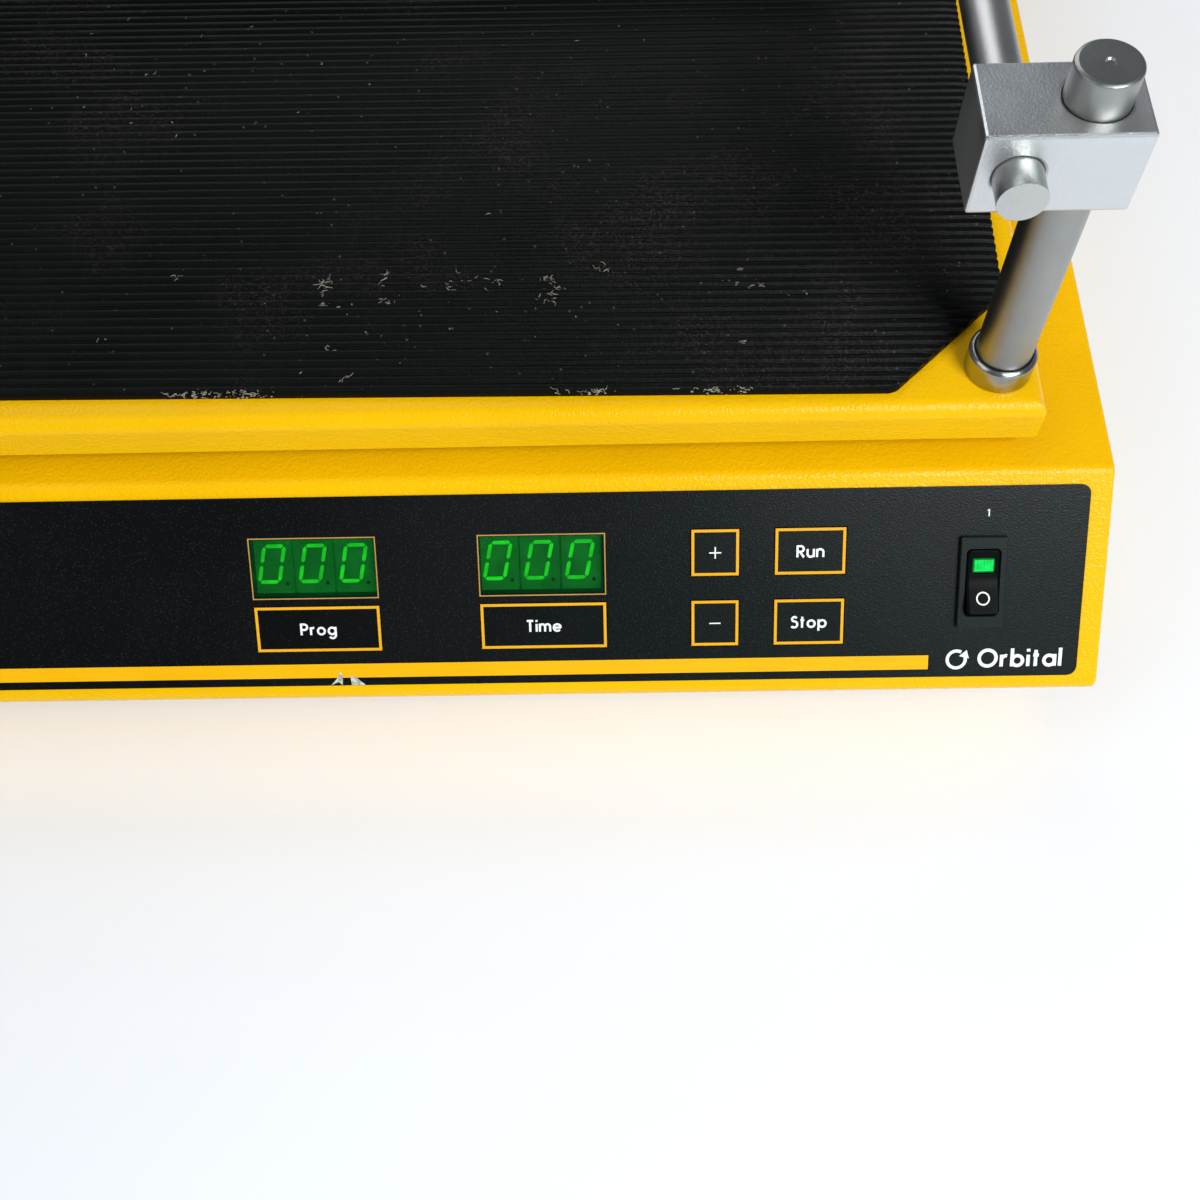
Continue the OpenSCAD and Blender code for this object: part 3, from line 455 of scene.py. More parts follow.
class Graph:
    """Places and joins shader nodes in a tree."""

    def __init__(self, tree):
        self.tree = tree

    def node(self, kind, values=None, **settings):
        made = self.tree.nodes.new(kind)
        for key, value in settings.items():
            setattr(made, key, value)
        for socket, value in (values or {}).items():
            self.feed(made.inputs[socket], value)
        return made

    def feed(self, socket, value):
        if isinstance(value, bpy.types.NodeSocket):
            self.tree.links.new(value, socket)
        else:
            socket.default_value = value

    def math(self, operation, a, b=0.0, clamp=False):
        made = self.node("ShaderNodeMath", {0: a, 1: b}, operation=operation)
        made.use_clamp = clamp
        return made.outputs[0]

    def remap(self, value, low, high, to_low=0.0, to_high=1.0):
        return self.node("ShaderNodeMapRange", {
            "Value": value, "From Min": low, "From Max": high,
            "To Min": to_low, "To Max": to_high}, interpolation_type="SMOOTHSTEP").outputs[0]

    def mix(self, factor, a, b):
        made = self.node("ShaderNodeMix", data_type="RGBA")
        for socket, value in zip((made.inputs[0], made.inputs[6], made.inputs[7]),
                                 (factor, a, b)):
            self.feed(socket, value)
        return made.outputs[2]

    def noise(self, vector, size, detail=3.0, rough=0.55):
        scale = self.math("DIVIDE", 1.0, size)
        return self.node("ShaderNodeTexNoise", {
            "Vector": vector, "Scale": scale, "Detail": detail, "Roughness": rough}).outputs[0]

    def bump(self, height):
        """The normal of a surface whose height is given in metres."""
        return self.node("ShaderNodeBump", {
            "Height": height, "Strength": 1.0, "Distance": 1.0}).outputs[0]

    def group(self, name, **values):
        """Places a shared effect and returns its outputs."""
        made = self.node("ShaderNodeGroup")
        made.node_tree = EFFECTS[name]()
        for key, value in values.items():
            self.feed(made.inputs[key.replace("_", " ").capitalize()], value)
        return made.outputs


def effect(name, inputs, outputs, build):
    """Makes a shader node group once."""
    found = bpy.data.node_groups.get(name)
    if found:
        return found
    tree = bpy.data.node_groups.new(name, "ShaderNodeTree")
    for label, kind, value in inputs:
        socket = tree.interface.new_socket(label, in_out="INPUT", socket_type="NodeSocket" + kind)
        if value is not None:
            socket.default_value = value
    for label, kind in outputs:
        tree.interface.new_socket(label, in_out="OUTPUT", socket_type="NodeSocket" + kind)
    given = tree.nodes.new("NodeGroupInput").outputs
    wanted = tree.nodes.new("NodeGroupOutput").inputs
    build(Graph(tree), given, wanted)
    return tree


def peel_effect():
    """Orange peel of a powder coat: rounded bumps with a finer ripple on them."""
    def build(g, given, wanted):
        coarse = g.noise(given["Vector"], given["Size"], 1.0)
        fine = g.noise(given["Vector"], g.math("MULTIPLY", given["Size"], 0.45), 1.0)
        both = g.math("ADD", coarse, g.math("MULTIPLY", fine, 0.35))
        g.feed(wanted["Height"], g.math("MULTIPLY", both, given["Depth"]))
    return effect("Orange peel", [("Vector", "Vector", None), ("Size", "Float", 0.001),
                                  ("Depth", "Float", 0.0002)], [("Height", "Float")], build)


def mottle_effect():
    """Slow change of lightness over a surface."""
    def build(g, given, wanted):
        patch = g.noise(given["Vector"], given["Size"], 4.0, 0.6)
        shade = g.remap(patch, 0.3, 0.7, 0.0, 1.0)
        value = g.math("ADD", 1.0, g.math("MULTIPLY", g.math("SUBTRACT", shade, 0.5),
                                          given["Amount"]))
        tinted = g.node("ShaderNodeHueSaturation", {"Color": given["Color"], "Value": value})
        g.feed(wanted["Color"], tinted.outputs[0])
        g.feed(wanted["Shade"], shade)
    return effect("Mottle", [("Vector", "Vector", None), ("Color", "Color", (1, 1, 1, 1)),
                             ("Size", "Float", 0.05), ("Amount", "Float", 0.1)],
                  [("Color", "Color"), ("Shade", "Float")], build)


def speck_effect():
    """Small round specks scattered over a surface."""
    def build(g, given, wanted):
        cells = g.node("ShaderNodeTexVoronoi", {
            "Vector": given["Vector"], "Scale": g.math("DIVIDE", 1.0, given["Size"])})
        chosen = g.node("ShaderNodeSeparateColor", {"Color": cells.outputs["Color"]}).outputs[0]
        chosen = g.math("LESS_THAN", chosen, given["Share"])
        spot = g.remap(cells.outputs["Distance"], 0.15, 0.42, 1.0, 0.0)
        g.feed(wanted["Mask"], g.math("MULTIPLY", chosen, spot))
    return effect("Specks", [("Vector", "Vector", None), ("Size", "Float", 0.001),
                             ("Share", "Float", 0.2)], [("Mask", "Float")], build)


def dust_effect():
    """Dust that settles on what faces up, in clouds with finer grains."""
    def build(g, given, wanted):
        up = g.node("ShaderNodeSeparateXYZ",
                    {"Vector": g.node("ShaderNodeNewGeometry").outputs["Normal"]}).outputs[2]
        cloud = g.remap(g.noise(given["Vector"], given["Size"], 5.0, 0.65), 0.46, 0.72)
        grains = g.remap(g.noise(given["Vector"], 0.0007, 2.0), 0.50, 0.68)
        lying = g.remap(up, 0.2, 0.9)
        mask = g.math("MULTIPLY", g.math("MULTIPLY", cloud, grains), lying)
        g.feed(wanted["Mask"], g.math("MULTIPLY", mask, given["Amount"], clamp=True))
    return effect("Dust", [("Vector", "Vector", None), ("Size", "Float", 0.03),
                           ("Amount", "Float", 0.5)], [("Mask", "Float")], build)


def brushed_effect():
    """Fine parallel scratches; Stretch squeezes the pattern across the grain."""
    def build(g, given, wanted):
        laid = g.node("ShaderNodeMapping", {"Vector": given["Vector"],
                                            "Scale": given["Stretch"]}).outputs[0]
        lines = g.noise(laid, given["Size"], 6.0, 0.7)
        g.feed(wanted["Height"], g.math("MULTIPLY", lines, given["Depth"]))
        g.feed(wanted["Lines"], g.remap(lines, 0.35, 0.65))
    return effect("Brushed grain", [("Vector", "Vector", None), ("Size", "Float", 0.001),
                                    ("Stretch", "Vector", (1, 1, 1)),
                                    ("Depth", "Float", 0.0001)],
                  [("Height", "Float"), ("Lines", "Float")], build)


EFFECTS = {"peel": peel_effect, "mottle": mottle_effect, "specks": speck_effect,
           "dust": dust_effect, "brushed": brushed_effect}


GREY_DUST = (0.36, 0.34, 0.30, 1)
# What each finish is made of, with lengths in metres:
# colour, rough (roughness), metal (metallic) and gloss (specular level), then the effects
# mottle (size, amount), peel (size, depth), brushed (size, stretch, depth),
# specks (size, share, colour) and dust (size, amount).
FINISHES = {
    "label_film": dict(colour=(0.0014, 0.0017, 0.0019), rough=0.33, gloss=0.20,
                       mottle=(0.08, 0.12), peel=(0.0005, 0.00006),
                       specks=(0.0006, 0.32, (0.015, 0.021, 0.022, 1))),
    "key_film": dict(colour=(0.0014, 0.0017, 0.0019), rough=0.31, gloss=0.20,
                     mottle=(0.05, 0.12), peel=(0.0005, 0.00005),
                     specks=(0.0006, 0.22, (0.012, 0.017, 0.018, 1))),
    "yellow_ink": dict(colour=(0.93, 0.46, 0.001), rough=0.46, gloss=0.15, mottle=(0.02, 0.05),
                       peel=(0.0004, 0.00003)),
    "frame_ink": dict(colour=(0.86, 0.42, 0.012), rough=0.46, gloss=0.15, mottle=(0.02, 0.08),
                      peel=(0.0004, 0.00003)),
    "copper_ink": dict(colour=(0.52, 0.28, 0.07), rough=0.42, gloss=0.2, mottle=(0.01, 0.15),
                       peel=(0.0004, 0.00003)),
    "white_ink": dict(colour=(0.88, 0.89, 0.88), rough=0.50, mottle=(0.01, 0.05),
                      peel=(0.0004, 0.00003)),
    "worn_film": dict(colour=(0.50, 0.50, 0.44), rough=0.50, mottle=(0.0016, 0.9),
                      peel=(0.0006, 0.0002)),
    "mat_rubber": dict(colour=(0.0022, 0.0025, 0.0023), rough=0.44, gloss=0.09,
                       mottle=(0.03, 0.35), peel=(0.0006, 0.00012),
                       specks=(0.0012, 0.020, (0.05, 0.05, 0.045, 1)), dust=(0.05, 0.08)),
    "mat_lint": dict(colour=(0.30, 0.285, 0.225), rough=0.85, mottle=(0.001, 0.7),
                     peel=(0.0004, 0.0002)),
    "foot_rubber": dict(colour=(0.016, 0.016, 0.017), rough=0.66, gloss=0.3,
                        mottle=(0.01, 0.2), peel=(0.0006, 0.0002), dust=(0.01, 0.25)),
    "belt_rubber": dict(colour=(0.020, 0.020, 0.021), rough=0.60, mottle=(0.01, 0.2),
                        peel=(0.0008, 0.0002)),
    "seal_rubber": dict(colour=(0.014, 0.014, 0.015), rough=0.50, gloss=0.3,
                        mottle=(0.01, 0.2), peel=(0.0006, 0.0001), dust=(0.01, 0.3)),
    "sleeve_rubber": dict(colour=(0.020, 0.021, 0.022), rough=0.74, gloss=0.3,
                          mottle=(0.02, 0.25), peel=(0.0012, 0.0003), dust=(0.02, 0.3)),
    "zinc": dict(colour=(0.55, 0.57, 0.58), rough=0.42, metal=1.0, mottle=(0.008, 0.35),
                 peel=(0.003, 0.00008)),
    "bright_steel": dict(colour=(0.62, 0.62, 0.61), rough=0.26, metal=1.0, mottle=(0.02, 0.1),
                         brushed=(0.0012, (1, 1, 6), 0.00003)),
    "brushed_post": dict(colour=(0.32, 0.325, 0.312), rough=0.30, metal=1.0, mottle=(0.03, 0.14),
                         brushed=(0.0006, (1, 1, 9), 0.00003)),
    "polished_collar": dict(colour=(0.37, 0.368, 0.35), rough=0.13, metal=1.0,
                            mottle=(0.006, 0.14), brushed=(0.0005, (1, 1, 8), 0.00002)),
    "brushed_rail": dict(colour=(0.50, 0.50, 0.49), rough=0.28, metal=1.0, mottle=(0.03, 0.12),
                         brushed=(0.0006, (1, 9, 1), 0.00003)),
    "brushed_bar": dict(colour=(0.50, 0.50, 0.49), rough=0.28, metal=1.0, mottle=(0.03, 0.12),
                        brushed=(0.0006, (9, 1, 1), 0.00003)),
    "aluminium": dict(colour=(0.62, 0.63, 0.64), rough=0.40, metal=1.0, mottle=(0.03, 0.1),
                      peel=(0.0006, 0.00008), dust=(0.03, 0.15)),
    "cast_iron": dict(colour=(0.20, 0.205, 0.21), rough=0.58, metal=0.85, mottle=(0.01, 0.4),
                      peel=(0.0016, 0.0004)),
    "bearing_steel": dict(colour=(0.66, 0.66, 0.66), rough=0.16, metal=1.0,
                          mottle=(0.01, 0.08), brushed=(0.0006, (1, 1, 8), 0.00002)),
    "bronze": dict(colour=(0.56, 0.35, 0.15), rough=0.34, metal=1.0, mottle=(0.008, 0.3),
                   peel=(0.0008, 0.00008)),
    "black_plastic": dict(colour=(0.018, 0.019, 0.020), rough=0.44, gloss=0.3,
                          mottle=(0.02, 0.12), peel=(0.0005, 0.00009), dust=(0.02, 0.12)),
    "switch_plastic": dict(colour=(0.009, 0.013, 0.013), rough=0.40, gloss=0.14,
                           mottle=(0.02, 0.12), peel=(0.0004, 0.00008)),
    "rocker_plastic": dict(colour=(0.0022, 0.0034, 0.0038), rough=0.30, gloss=0.03,
                           mottle=(0.01, 0.15), peel=(0.0006, 0.00003)),
    "thumb_plastic": dict(colour=(0.020, 0.021, 0.022), rough=0.42, gloss=0.3,
                          mottle=(0.01, 0.15), peel=(0.0005, 0.0001), dust=(0.01, 0.2)),
    "motor_paint": dict(colour=(0.035, 0.037, 0.040), rough=0.40, mottle=(0.03, 0.15),
                        peel=(0.0012, 0.00015)),
    "circuit_board": dict(colour=(0.010, 0.120, 0.045), rough=0.34, mottle=(0.004, 0.35),
                          peel=(0.0007, 0.00008)),
    "recess_black": dict(colour=(0.0040, 0.0080, 0.0045), rough=0.45, gloss=0.1,
                         mottle=(0.01, 0.2), peel=(0.0005, 0.00006)),
}

GLOW_GLOSS = 0.12
GLOWS = {                      # colour, roughness, strength of its light, mottle
    # the modules' faces are no lamps: their glow is painted light, standing in for the light that
    # reaches them through the tinted film
    "module_face_painted_glow": ((0.003, 0.135, 0.010), 0.5, 0.55, (0.008, 0.45)),
    "lens_glow": ((0.006, 0.55, 0.08), 0.22, 0.40, (0.003, 0.35)),
    "lens_border": ((0.002, 0.10, 0.016), 0.25, 0.35, (0.003, 0.35)),
}


def finish(name):
    """The material of that name, made the first time it is asked for."""
    full = "shaker_" + name
    found = bpy.data.materials.get(full)
    if found:
        return found
    if name == "yellow_paint":
        paint = bpy.context.scene.shaker_paint
        return surface(full, tuple(paint.yellow), 0.20, gloss=0.15, mottle=(0.09, 0.07),
                       peel=(paint.peel_size, paint.peel_depth))
    if name == "lit_segment":
        lit = tuple(bpy.context.scene.shaker_console.digit_colour)
        return glowing(full, lit, 0.30, 0.85, (0.006, 0.5))
    if name == "tinted_film":
        return tinted_film(full)
    if name in GLOWS:
        return glowing(full, *GLOWS[name])
    return surface(full, **FINISHES[name])


def new_material(name, colour, rough, metal=0.0, gloss=0.5):
    """A material, its graph and its shader, with the values that are even all over."""
    material = bpy.data.materials.new(name)
    material.use_nodes = True
    material.diffuse_color = (*colour[:3], 1)
    shader = material.node_tree.nodes["Principled BSDF"]
    shader.inputs["Metallic"].default_value = metal
    shader.inputs["Roughness"].default_value = rough
    shader.inputs["Specular IOR Level"].default_value = gloss
    return material, Graph(material.node_tree), shader


def surface(name, colour, rough, metal=0.0, gloss=0.5, mottle=(0.05, 0.1), peel=None,
            brushed=None, specks=None, dust=None):
    """A material with its colour, roughness and bump varied by the shared effects."""
    material, g, shader = new_material(name, colour, rough, metal, gloss)
    where = g.node("ShaderNodeTexCoord").outputs["Object"]
    patches = g.group("mottle", vector=where, color=(*colour[:3], 1),
                      size=mottle[0], amount=mottle[1])
    shown, roughness = patches["Color"], g.remap(patches["Shade"], 0, 1, rough * 0.9, rough * 1.1)
    heights = []
    if peel:
        heights.append(g.group("peel", vector=where, size=peel[0], depth=peel[1])["Height"])
    if brushed:
        grain = g.group("brushed", vector=where, size=brushed[0], stretch=brushed[1],
                        depth=brushed[2])
        heights.append(grain["Height"])
        roughness = g.math("ADD", roughness, g.math("MULTIPLY", grain["Lines"], 0.08))
    if specks:
        mask = g.group("specks", vector=where, size=specks[0], share=specks[1])["Mask"]
        shown = g.mix(mask, shown, specks[2])
    if dust:
        mask = g.group("dust", vector=where, size=dust[0], amount=dust[1])["Mask"]
        shown = g.mix(mask, shown, GREY_DUST)
        roughness = g.math("MAXIMUM", roughness, g.math("MULTIPLY", mask, 0.9))
    height = heights[0] if len(heights) == 1 else g.math("ADD", *heights)
    g.feed(shader.inputs["Base Color"], shown)
    g.feed(shader.inputs["Roughness"], roughness)
    g.feed(shader.inputs["Normal"], g.bump(height))
    return material


def glowing(name, colour, rough, strength, mottle):
    """A material that gives off light, in uneven patches: the lit segments and the switch's lens
    are lit from within; the modules' faces glow with painted light.
    """
    material, g, shader = new_material(name, colour, rough, gloss=GLOW_GLOSS)
    where = g.node("ShaderNodeTexCoord").outputs["Object"]
    patches = g.group("mottle", vector=where, color=(*colour[:3], 1),
                      size=mottle[0], amount=mottle[1])
    height = g.group("peel", vector=where, size=0.0007, depth=0.00006)["Height"]
    g.feed(shader.inputs["Base Color"], patches["Color"])
    g.feed(shader.inputs["Emission Color"], patches["Color"])
    shader.inputs["Emission Strength"].default_value = strength
    g.feed(shader.inputs["Normal"], g.bump(height))
    return material


def tinted_film(name):
    """The clear green film over the digits, thin enough to be a simple see-through sheet."""
    material, g, shader = new_material(name, (0.0, 0.10, 0.02), 0.20, gloss=0.2)
    where = g.node("ShaderNodeTexCoord").outputs["Object"]
    patches = g.group("mottle", vector=where, color=(0.0, 0.06, 0.012, 1),
                      size=0.02, amount=0.3)
    g.feed(shader.inputs["Base Color"], patches["Color"])
    g.feed(shader.inputs["Alpha"], g.remap(patches["Shade"], 0, 1, 0.20, 0.26))
    return material


# ---- Stroke letters: capitals are 1 high; each letter has a width and its strokes ----

def bowl(x, y):
    """The half-round of a P or an R, and the two short bars that tie it to the stem."""
    return [Vector((0, y + 0.235))] + arc(x, y, 0.235, 90, -90) + [Vector((0, y - 0.235))]


def line(*points):
    """A stroke through the given points."""
    return [Vector(p) for p in points]


def letters():
    """Every sign the console needs, as its width and its strokes."""
    ring = arc(0.31, 0.33, 0.285, 0, 345, 22)
    s_top = arc(0.235, 0.735, 0.19, 25, 270, 12)
    s_low = arc(0.215, 0.285, 0.26, 90, -145, 14)
    return {
        "P": (0.52, [line((0, 0), (0, 0.99)), bowl(0.26, 0.69)]),
        "R": (0.54, [line((0, 0), (0, 0.99)), bowl(0.26, 0.69),
                     line((0.20, 0.46), (0.52, 0))]),
        "T": (0.52, [line((0, 0.93), (0.52, 0.93)), line((0.26, 0), (0.26, 0.90))]),
        "S": (0.46, [s_top[:-1] + s_low[1:]]),
        "r": (0.28, [line((0, 0), (0, 0.68)), arc(0.24, 0.38, 0.24, 178, 78)]),
        "o": (0.62, [("ring", ring)]),
        "g": (0.62, [("ring", ring), line((0.60, 0.68), (0.60, 0.0))
                     + arc(0.33, -0.02, 0.27, 0, -148)[1:]]),
        "i": (0.0, [line((0, 0), (0, 0.66)), line((0, 0.84), (0, 1.0))]),
        "m": (0.84, [line((0, 0), (0, 0.68)),
                     arc(0.21, 0.42, 0.21, 172, 0) + line((0.42, 0)),
                     arc(0.63, 0.42, 0.21, 172, 0) + line((0.84, 0))]),
        "e": (0.60, [arc(0.31, 0.33, 0.285, 0, 318, 18), line((0.06, 0.33), (0.63, 0.33))]),
        "u": (0.50, [line((0, 0.68), (0, 0.28)) + arc(0.25, 0.28, 0.25, 180, 360)[1:],
                     line((0.50, 0), (0.50, 0.68))]),
        "n": (0.50, [line((0, 0), (0, 0.68)), arc(0.25, 0.40, 0.25, 172, 0) + line((0.50, 0))]),
        "t": (0.30, [line((0.14, 0), (0.14, 0.93)), line((0, 0.64), (0.30, 0.64))]),
        "p": (0.62, [("ring", ring), line((0.02, 0.68), (0.02, -0.28))]),
        "O": (0.98, [("ring", arc(0.49, 0.5, 0.46, 0, 348, 30))]),
        "a": (0.62, [("ring", ring), line((0.60, 0.68), (0.60, 0))]),
        "b": (0.62, [line((0.02, 0), (0.02, 1.04)), ("ring", ring)]),
        "l": (0.0, [line((0, 0), (0, 1.04))]),
        "+": (1.12, [line((0, 0.48), (1.12, 0.48)), line((0.56, -0.08), (0.56, 1.04))]),
        "-": (1.06, [line((0, 0.48), (1.06, 0.48))]),
        "1": (0.22, [line((0.0, 0.80), (0.20, 0.96)), line((0.22, 0), (0.22, 1.0))]),
    }


LETTER_GAP = 0.265


def write(shape, text, x, y, height, weight, z, mark, gap=LETTER_GAP):
    """Prints text centred on (x, y) as raised strokes, each a hair above the last."""
    known = letters()
    total = sum(known[c][0] for c in text) + gap * (len(text) - 1)
    at = x - total * height / 2
    for c in text:
        width, strokes = known[c]
        for k, stroke in enumerate(strokes):
            closed = stroke[0] == "ring"
            points = stroke[1] if closed else stroke
            placed = [Vector((at + p.x * height, y + (p.y - 0.5) * height)) for p in points]
            shape.ribbon(placed, weight, z, z + INK_T + INK_STEP * k, mark, closed)
        at += (width + gap) * height


# ---- Pieces ----

def case_outline(low, high, nose):
    """The case's profile as (Y, Z) points from its nose, anticlockwise seen from +X."""
    run = nose.y + (high.z - nose.z) / math.tan(SLOPE)
    plinth = box("base_plate")[0].y - SHEET_T - 0.3
    return [Vector((nose.y, nose.z)), Vector((plinth, nose.z - (plinth - nose.y))),
            Vector((plinth, low.z)), Vector((high.y, low.z)), Vector((high.y, high.z)),
            Vector((run, high.z))]


def case_solid(half_w, outline, moved, bends, side, steps=6):
    """The profile run across the case, with its two side edges rounded to radius side.

    moved says which edges draw in at the rounding, and bends holds the corners' radii.
    """
    rings = []
    for sign in (-1, 1):
        angles = range(steps + 1) if sign < 0 else range(steps, -1, -1)
        for k in angles:
            g = math.radians(90) * k / steps
            inwards = side * (1 - math.sin(g))
            x = sign * (half_w - side * (1 - math.cos(g)))
            ring = offset(outline, [inwards * m for m in moved])
            radii = [max(0.05, r + (inwards if i == 1 else -inwards)) if r else 0
                     for i, r in enumerate(bends)]
            rings.append([Vector((x, p.x, p.y)) for p in rounded(ring, radii, 8)])
    shape = Shape()
    shape.loft(rings)
    return shape


def console_openings():
    """Blocks that pass through the console at its windows, keys and switch."""
    shape = Shape()

    def through(x, y, w, h):
        shape.plate(rectangle(w, h, 0, 1, x + w / 2, y + h / 2), [], -6, 6)
    for x in WINDOW_X:
        through(x, WINDOW_Y, WINDOW_W, WINDOW_H)
    for x, y, w, _ in KEYS.values():
        through(x - KEY_GAP, y - KEY_GAP, w + 2 * KEY_GAP, KEY_H + 2 * KEY_GAP)
    w, h = SWITCH_HOLE
    through(SWITCH_X - w / 2, SWITCH_Y - h / 2, w, h)
    shape.points = [CONSOLE @ p for p in shape.points]
    return shape


class SHAKER_OT_case(bpy.types.Operator):
    """Folds the yellow case, with rounded bends and its openings"""
    bl_idname = "shaker.case"
    bl_label = "Case"

    def execute(self, context):
        low, high = box("housing")
        nose = CONSOLE @ Vector((0, -YELLOW_BELOW_LABEL, 0))
        outline = case_outline(low, high, nose)
        paint = finish("yellow_paint")
        rounded_edges = [1, 1, 0, 0, 1, 1]
        bends = [CASE_BEND, CASE_BEND, 0, 0, 0, CASE_BEND]
        case = case_solid(high.x, outline, rounded_edges, bends, SIDE_BEND).object(
            "case_shell", [paint])
        # the inside is open at the bottom and the rear, so those edges move outwards
        inner = offset(outline, [SHEET_T, SHEET_T, -2, -2, SHEET_T, SHEET_T])
        bends = [CASE_BEND - SHEET_T, CASE_BEND + SHEET_T, 0, 0, 0, CASE_BEND - SHEET_T]
        inside = case_solid(high.x - SHEET_T, inner, rounded_edges, bends, INNER_BEND)
        carve(case, inside.object("inside", [paint]))
        openings = console_openings()
        for x, y, r in shaft_holes():
            openings.turned([(r, high.z - 5), (r, high.z + 5)], 48, x, y)
        carve(case, openings.object("openings", [paint]))
        fit(case, "case", "yellow_paint", "housing")
        return {"FINISHED"}


def shaft_holes():
    """Centre and radius of the five holes in the case's top, one over each crank."""
    places = []
    for joint in frame["joints"]:
        if joint["child"] == "crank" or joint["child"].startswith("idler"):
            x, y, _ = Vector(joint["pos_m"]) / MM
            places.append((x, y, CRANK_HOLE_R if joint["child"] == "crank" else IDLER_HOLE_R))
    return places


class SHAKER_OT_label(bpy.types.Operator):
    """Lays the black label on the slope, with its printing and worn spots"""
    bl_idname = "shaker.label"
    bl_label = "Label"

    def execute(self, context):
        low, high = box("front_label")
        width = high.x - low.x
        shape = Shape()
        outline = rectangle(width, LABEL_H, LABEL_CORNER, 8, -width / 2, LABEL_H / 2)
        # no two openings line up exactly, because that would leave slivers in the mesh
        holes = [rectangle(WINDOW_W - 1.0, WINDOW_H - 1.0, 0, 1, x + WINDOW_W / 2,
                           WINDOW_Y + WINDOW_H / 2 - 0.3 + 0.00002 * x) for x in WINDOW_X]
        holes += [rectangle(w + 0.5, KEY_H + 0.48 + 0.01 * i, 0.2, 2, x + w / 2, y + KEY_H / 2)
                  for i, (x, y, w, _) in enumerate(KEYS.values())]
        holes.append(rectangle(*SWITCH_HOLE, 0, 1, SWITCH_X, SWITCH_Y))
        shape.plate(outline, holes, 0.01, LABEL_T)
        label = shape.object("front_label_film", [finish("label_film")], CONSOLE)
        fit(label, "case", "label_film", "front_label")
        self.printing(width)
        return {"FINISHED"}

    def printing(self, width):
        """The stripe, the windows' outlines, the switch's 1, the sign and the worn spots."""
        z = LABEL_T
        prints = Shape()
        bottom, top, right = STRIPE
        prints.plate(rectangle(width + right, top - bottom, 0, 1,
                               (right - width) / 2, (bottom + top) / 2), [], z, z + INK_T)
        for x in WINDOW_X:
            prints.frame(x, WINDOW_Y - 0.4, x + WINDOW_W, WINDOW_Y + WINDOW_H - 0.2,
                         WINDOW_LINE, z, z + INK_T, 1)
        write(prints, "1", *SWITCH_MARK, 2.2, 0.36, z, 2)
        self.orbit_sign(prints, z)
        fit(prints.object("label_printing", [finish("yellow_ink"), finish("copper_ink"),
                                             finish("white_ink")], CONSOLE),
            "case", "label_film")
        worn = Shape()
        for points in (((-233.2, 0.1), (-231.2, 2.2), (-229.9, 4.6), (-229.2, 3.0),
                        (-229.5, 0.1), (-230.6, 1.2)),
                       ((-226.9, 3.3), (-225.0, 2.6), (-222.2, 0.1), (-226.6, 0.1))):
            worn.plate([Vector(p) for p in points], [], z, z + 2.2 * INK_T)
        fit(worn.object("label_worn_spots", [finish("worn_film")], CONSOLE), "case", "label_film")

    def orbit_sign(self, shape, z):
        """A circling arrow, the sign for shaking, with a word beside it."""
        shape.ribbon(arc(SIGN_X, SIGN_Y, SIGN_R, 60, 385, 30), 1.0, z, z + INK_T, 2)
        tip = arc(SIGN_X, SIGN_Y, SIGN_R, 25, 25, 1)[0]
        shape.plate([tip + Vector(p) for p in ((-1.75, -0.1), (0.55, 1.9), (1.35, -0.9))], [],
                    z, z + INK_T + 0.006, 2)
        write(shape, "Orbital", WORD_X, WORD_Y, WORD_H, 1.08, z, 2, 0.27)


class SHAKER_OT_keys(bpy.types.Operator):
    """Makes the six keys, each with its printed frame and legend"""
    bl_idname = "shaker.keys"
    bl_label = "Keys"

    def execute(self, context):
        sizes = context.scene.shaker_console
        for name, (x, y, w, legend) in KEYS.items():
            cx, cy = x + w / 2, y + KEY_H / 2
            shape = Shape()
            rings = [(0.0, LABEL_T - KEY_T), (0.0, LABEL_T - 0.10), (0.03, LABEL_T - 0.03),
                     (0.10, LABEL_T)]
            shape.loft([at_height(rectangle(w - 2 * e, KEY_H - 2 * e, 0.25, 3, cx, cy), z)
                        for e, z in rings])
            shape.frame(x + KEY_MARGIN, y + KEY_MARGIN, x + w - KEY_MARGIN,
                        y + KEY_H - KEY_MARGIN, KEY_LINE, LABEL_T, LABEL_T + INK_T, 1)
            smaller, thinner = (0.86, 0.62) if legend in "+-" else (1, 1)
            write(shape, legend, cx, cy, sizes.legend_height / MM * smaller,
                  sizes.legend_weight / MM * thinner, LABEL_T, 2)
            fit(shape.object(name + "_cap", [finish("key_film"), finish("frame_ink"),
                                             finish("white_ink")], CONSOLE),
                name, "label_film", name)
        return {"FINISHED"}


def digit_segments():
    """The six lit bars of a nought, round the middle of a module, leaning like italics."""
    # half the width and height between the bars' middles, their thickness and their gaps
    hw, hh, t, gap = 3.1, 5.75, 1.15, 0.2
    bars = []
    for sy in (-1, 1):
        bars.append([(-hw + gap, sy * hh), (-hw + gap + t * 0.6, sy * (hh + t / 2)),
                     (hw - gap - t * 0.6, sy * (hh + t / 2)), (hw - gap, sy * hh),
                     (hw - gap - t * 0.5, sy * (hh - t / 2)),
                     (-hw + gap + t * 0.5, sy * (hh - t / 2))])
        for sx in (-1, 1):
            bars.append([(sx * hw, sy * 0.45), (sx * (hw - t / 2), sy * 0.95),
                         (sx * (hw - t / 2), sy * (hh - 0.85)), (sx * hw, sy * (hh - 0.25)),
                         (sx * (hw + t / 2), sy * (hh - 0.85)), (sx * (hw + t / 2), sy * 0.95)])
    lean = math.tan(DIGIT_LEAN)
    return [[Vector((x + y * lean, y)) for x, y in bar] for bar in bars]


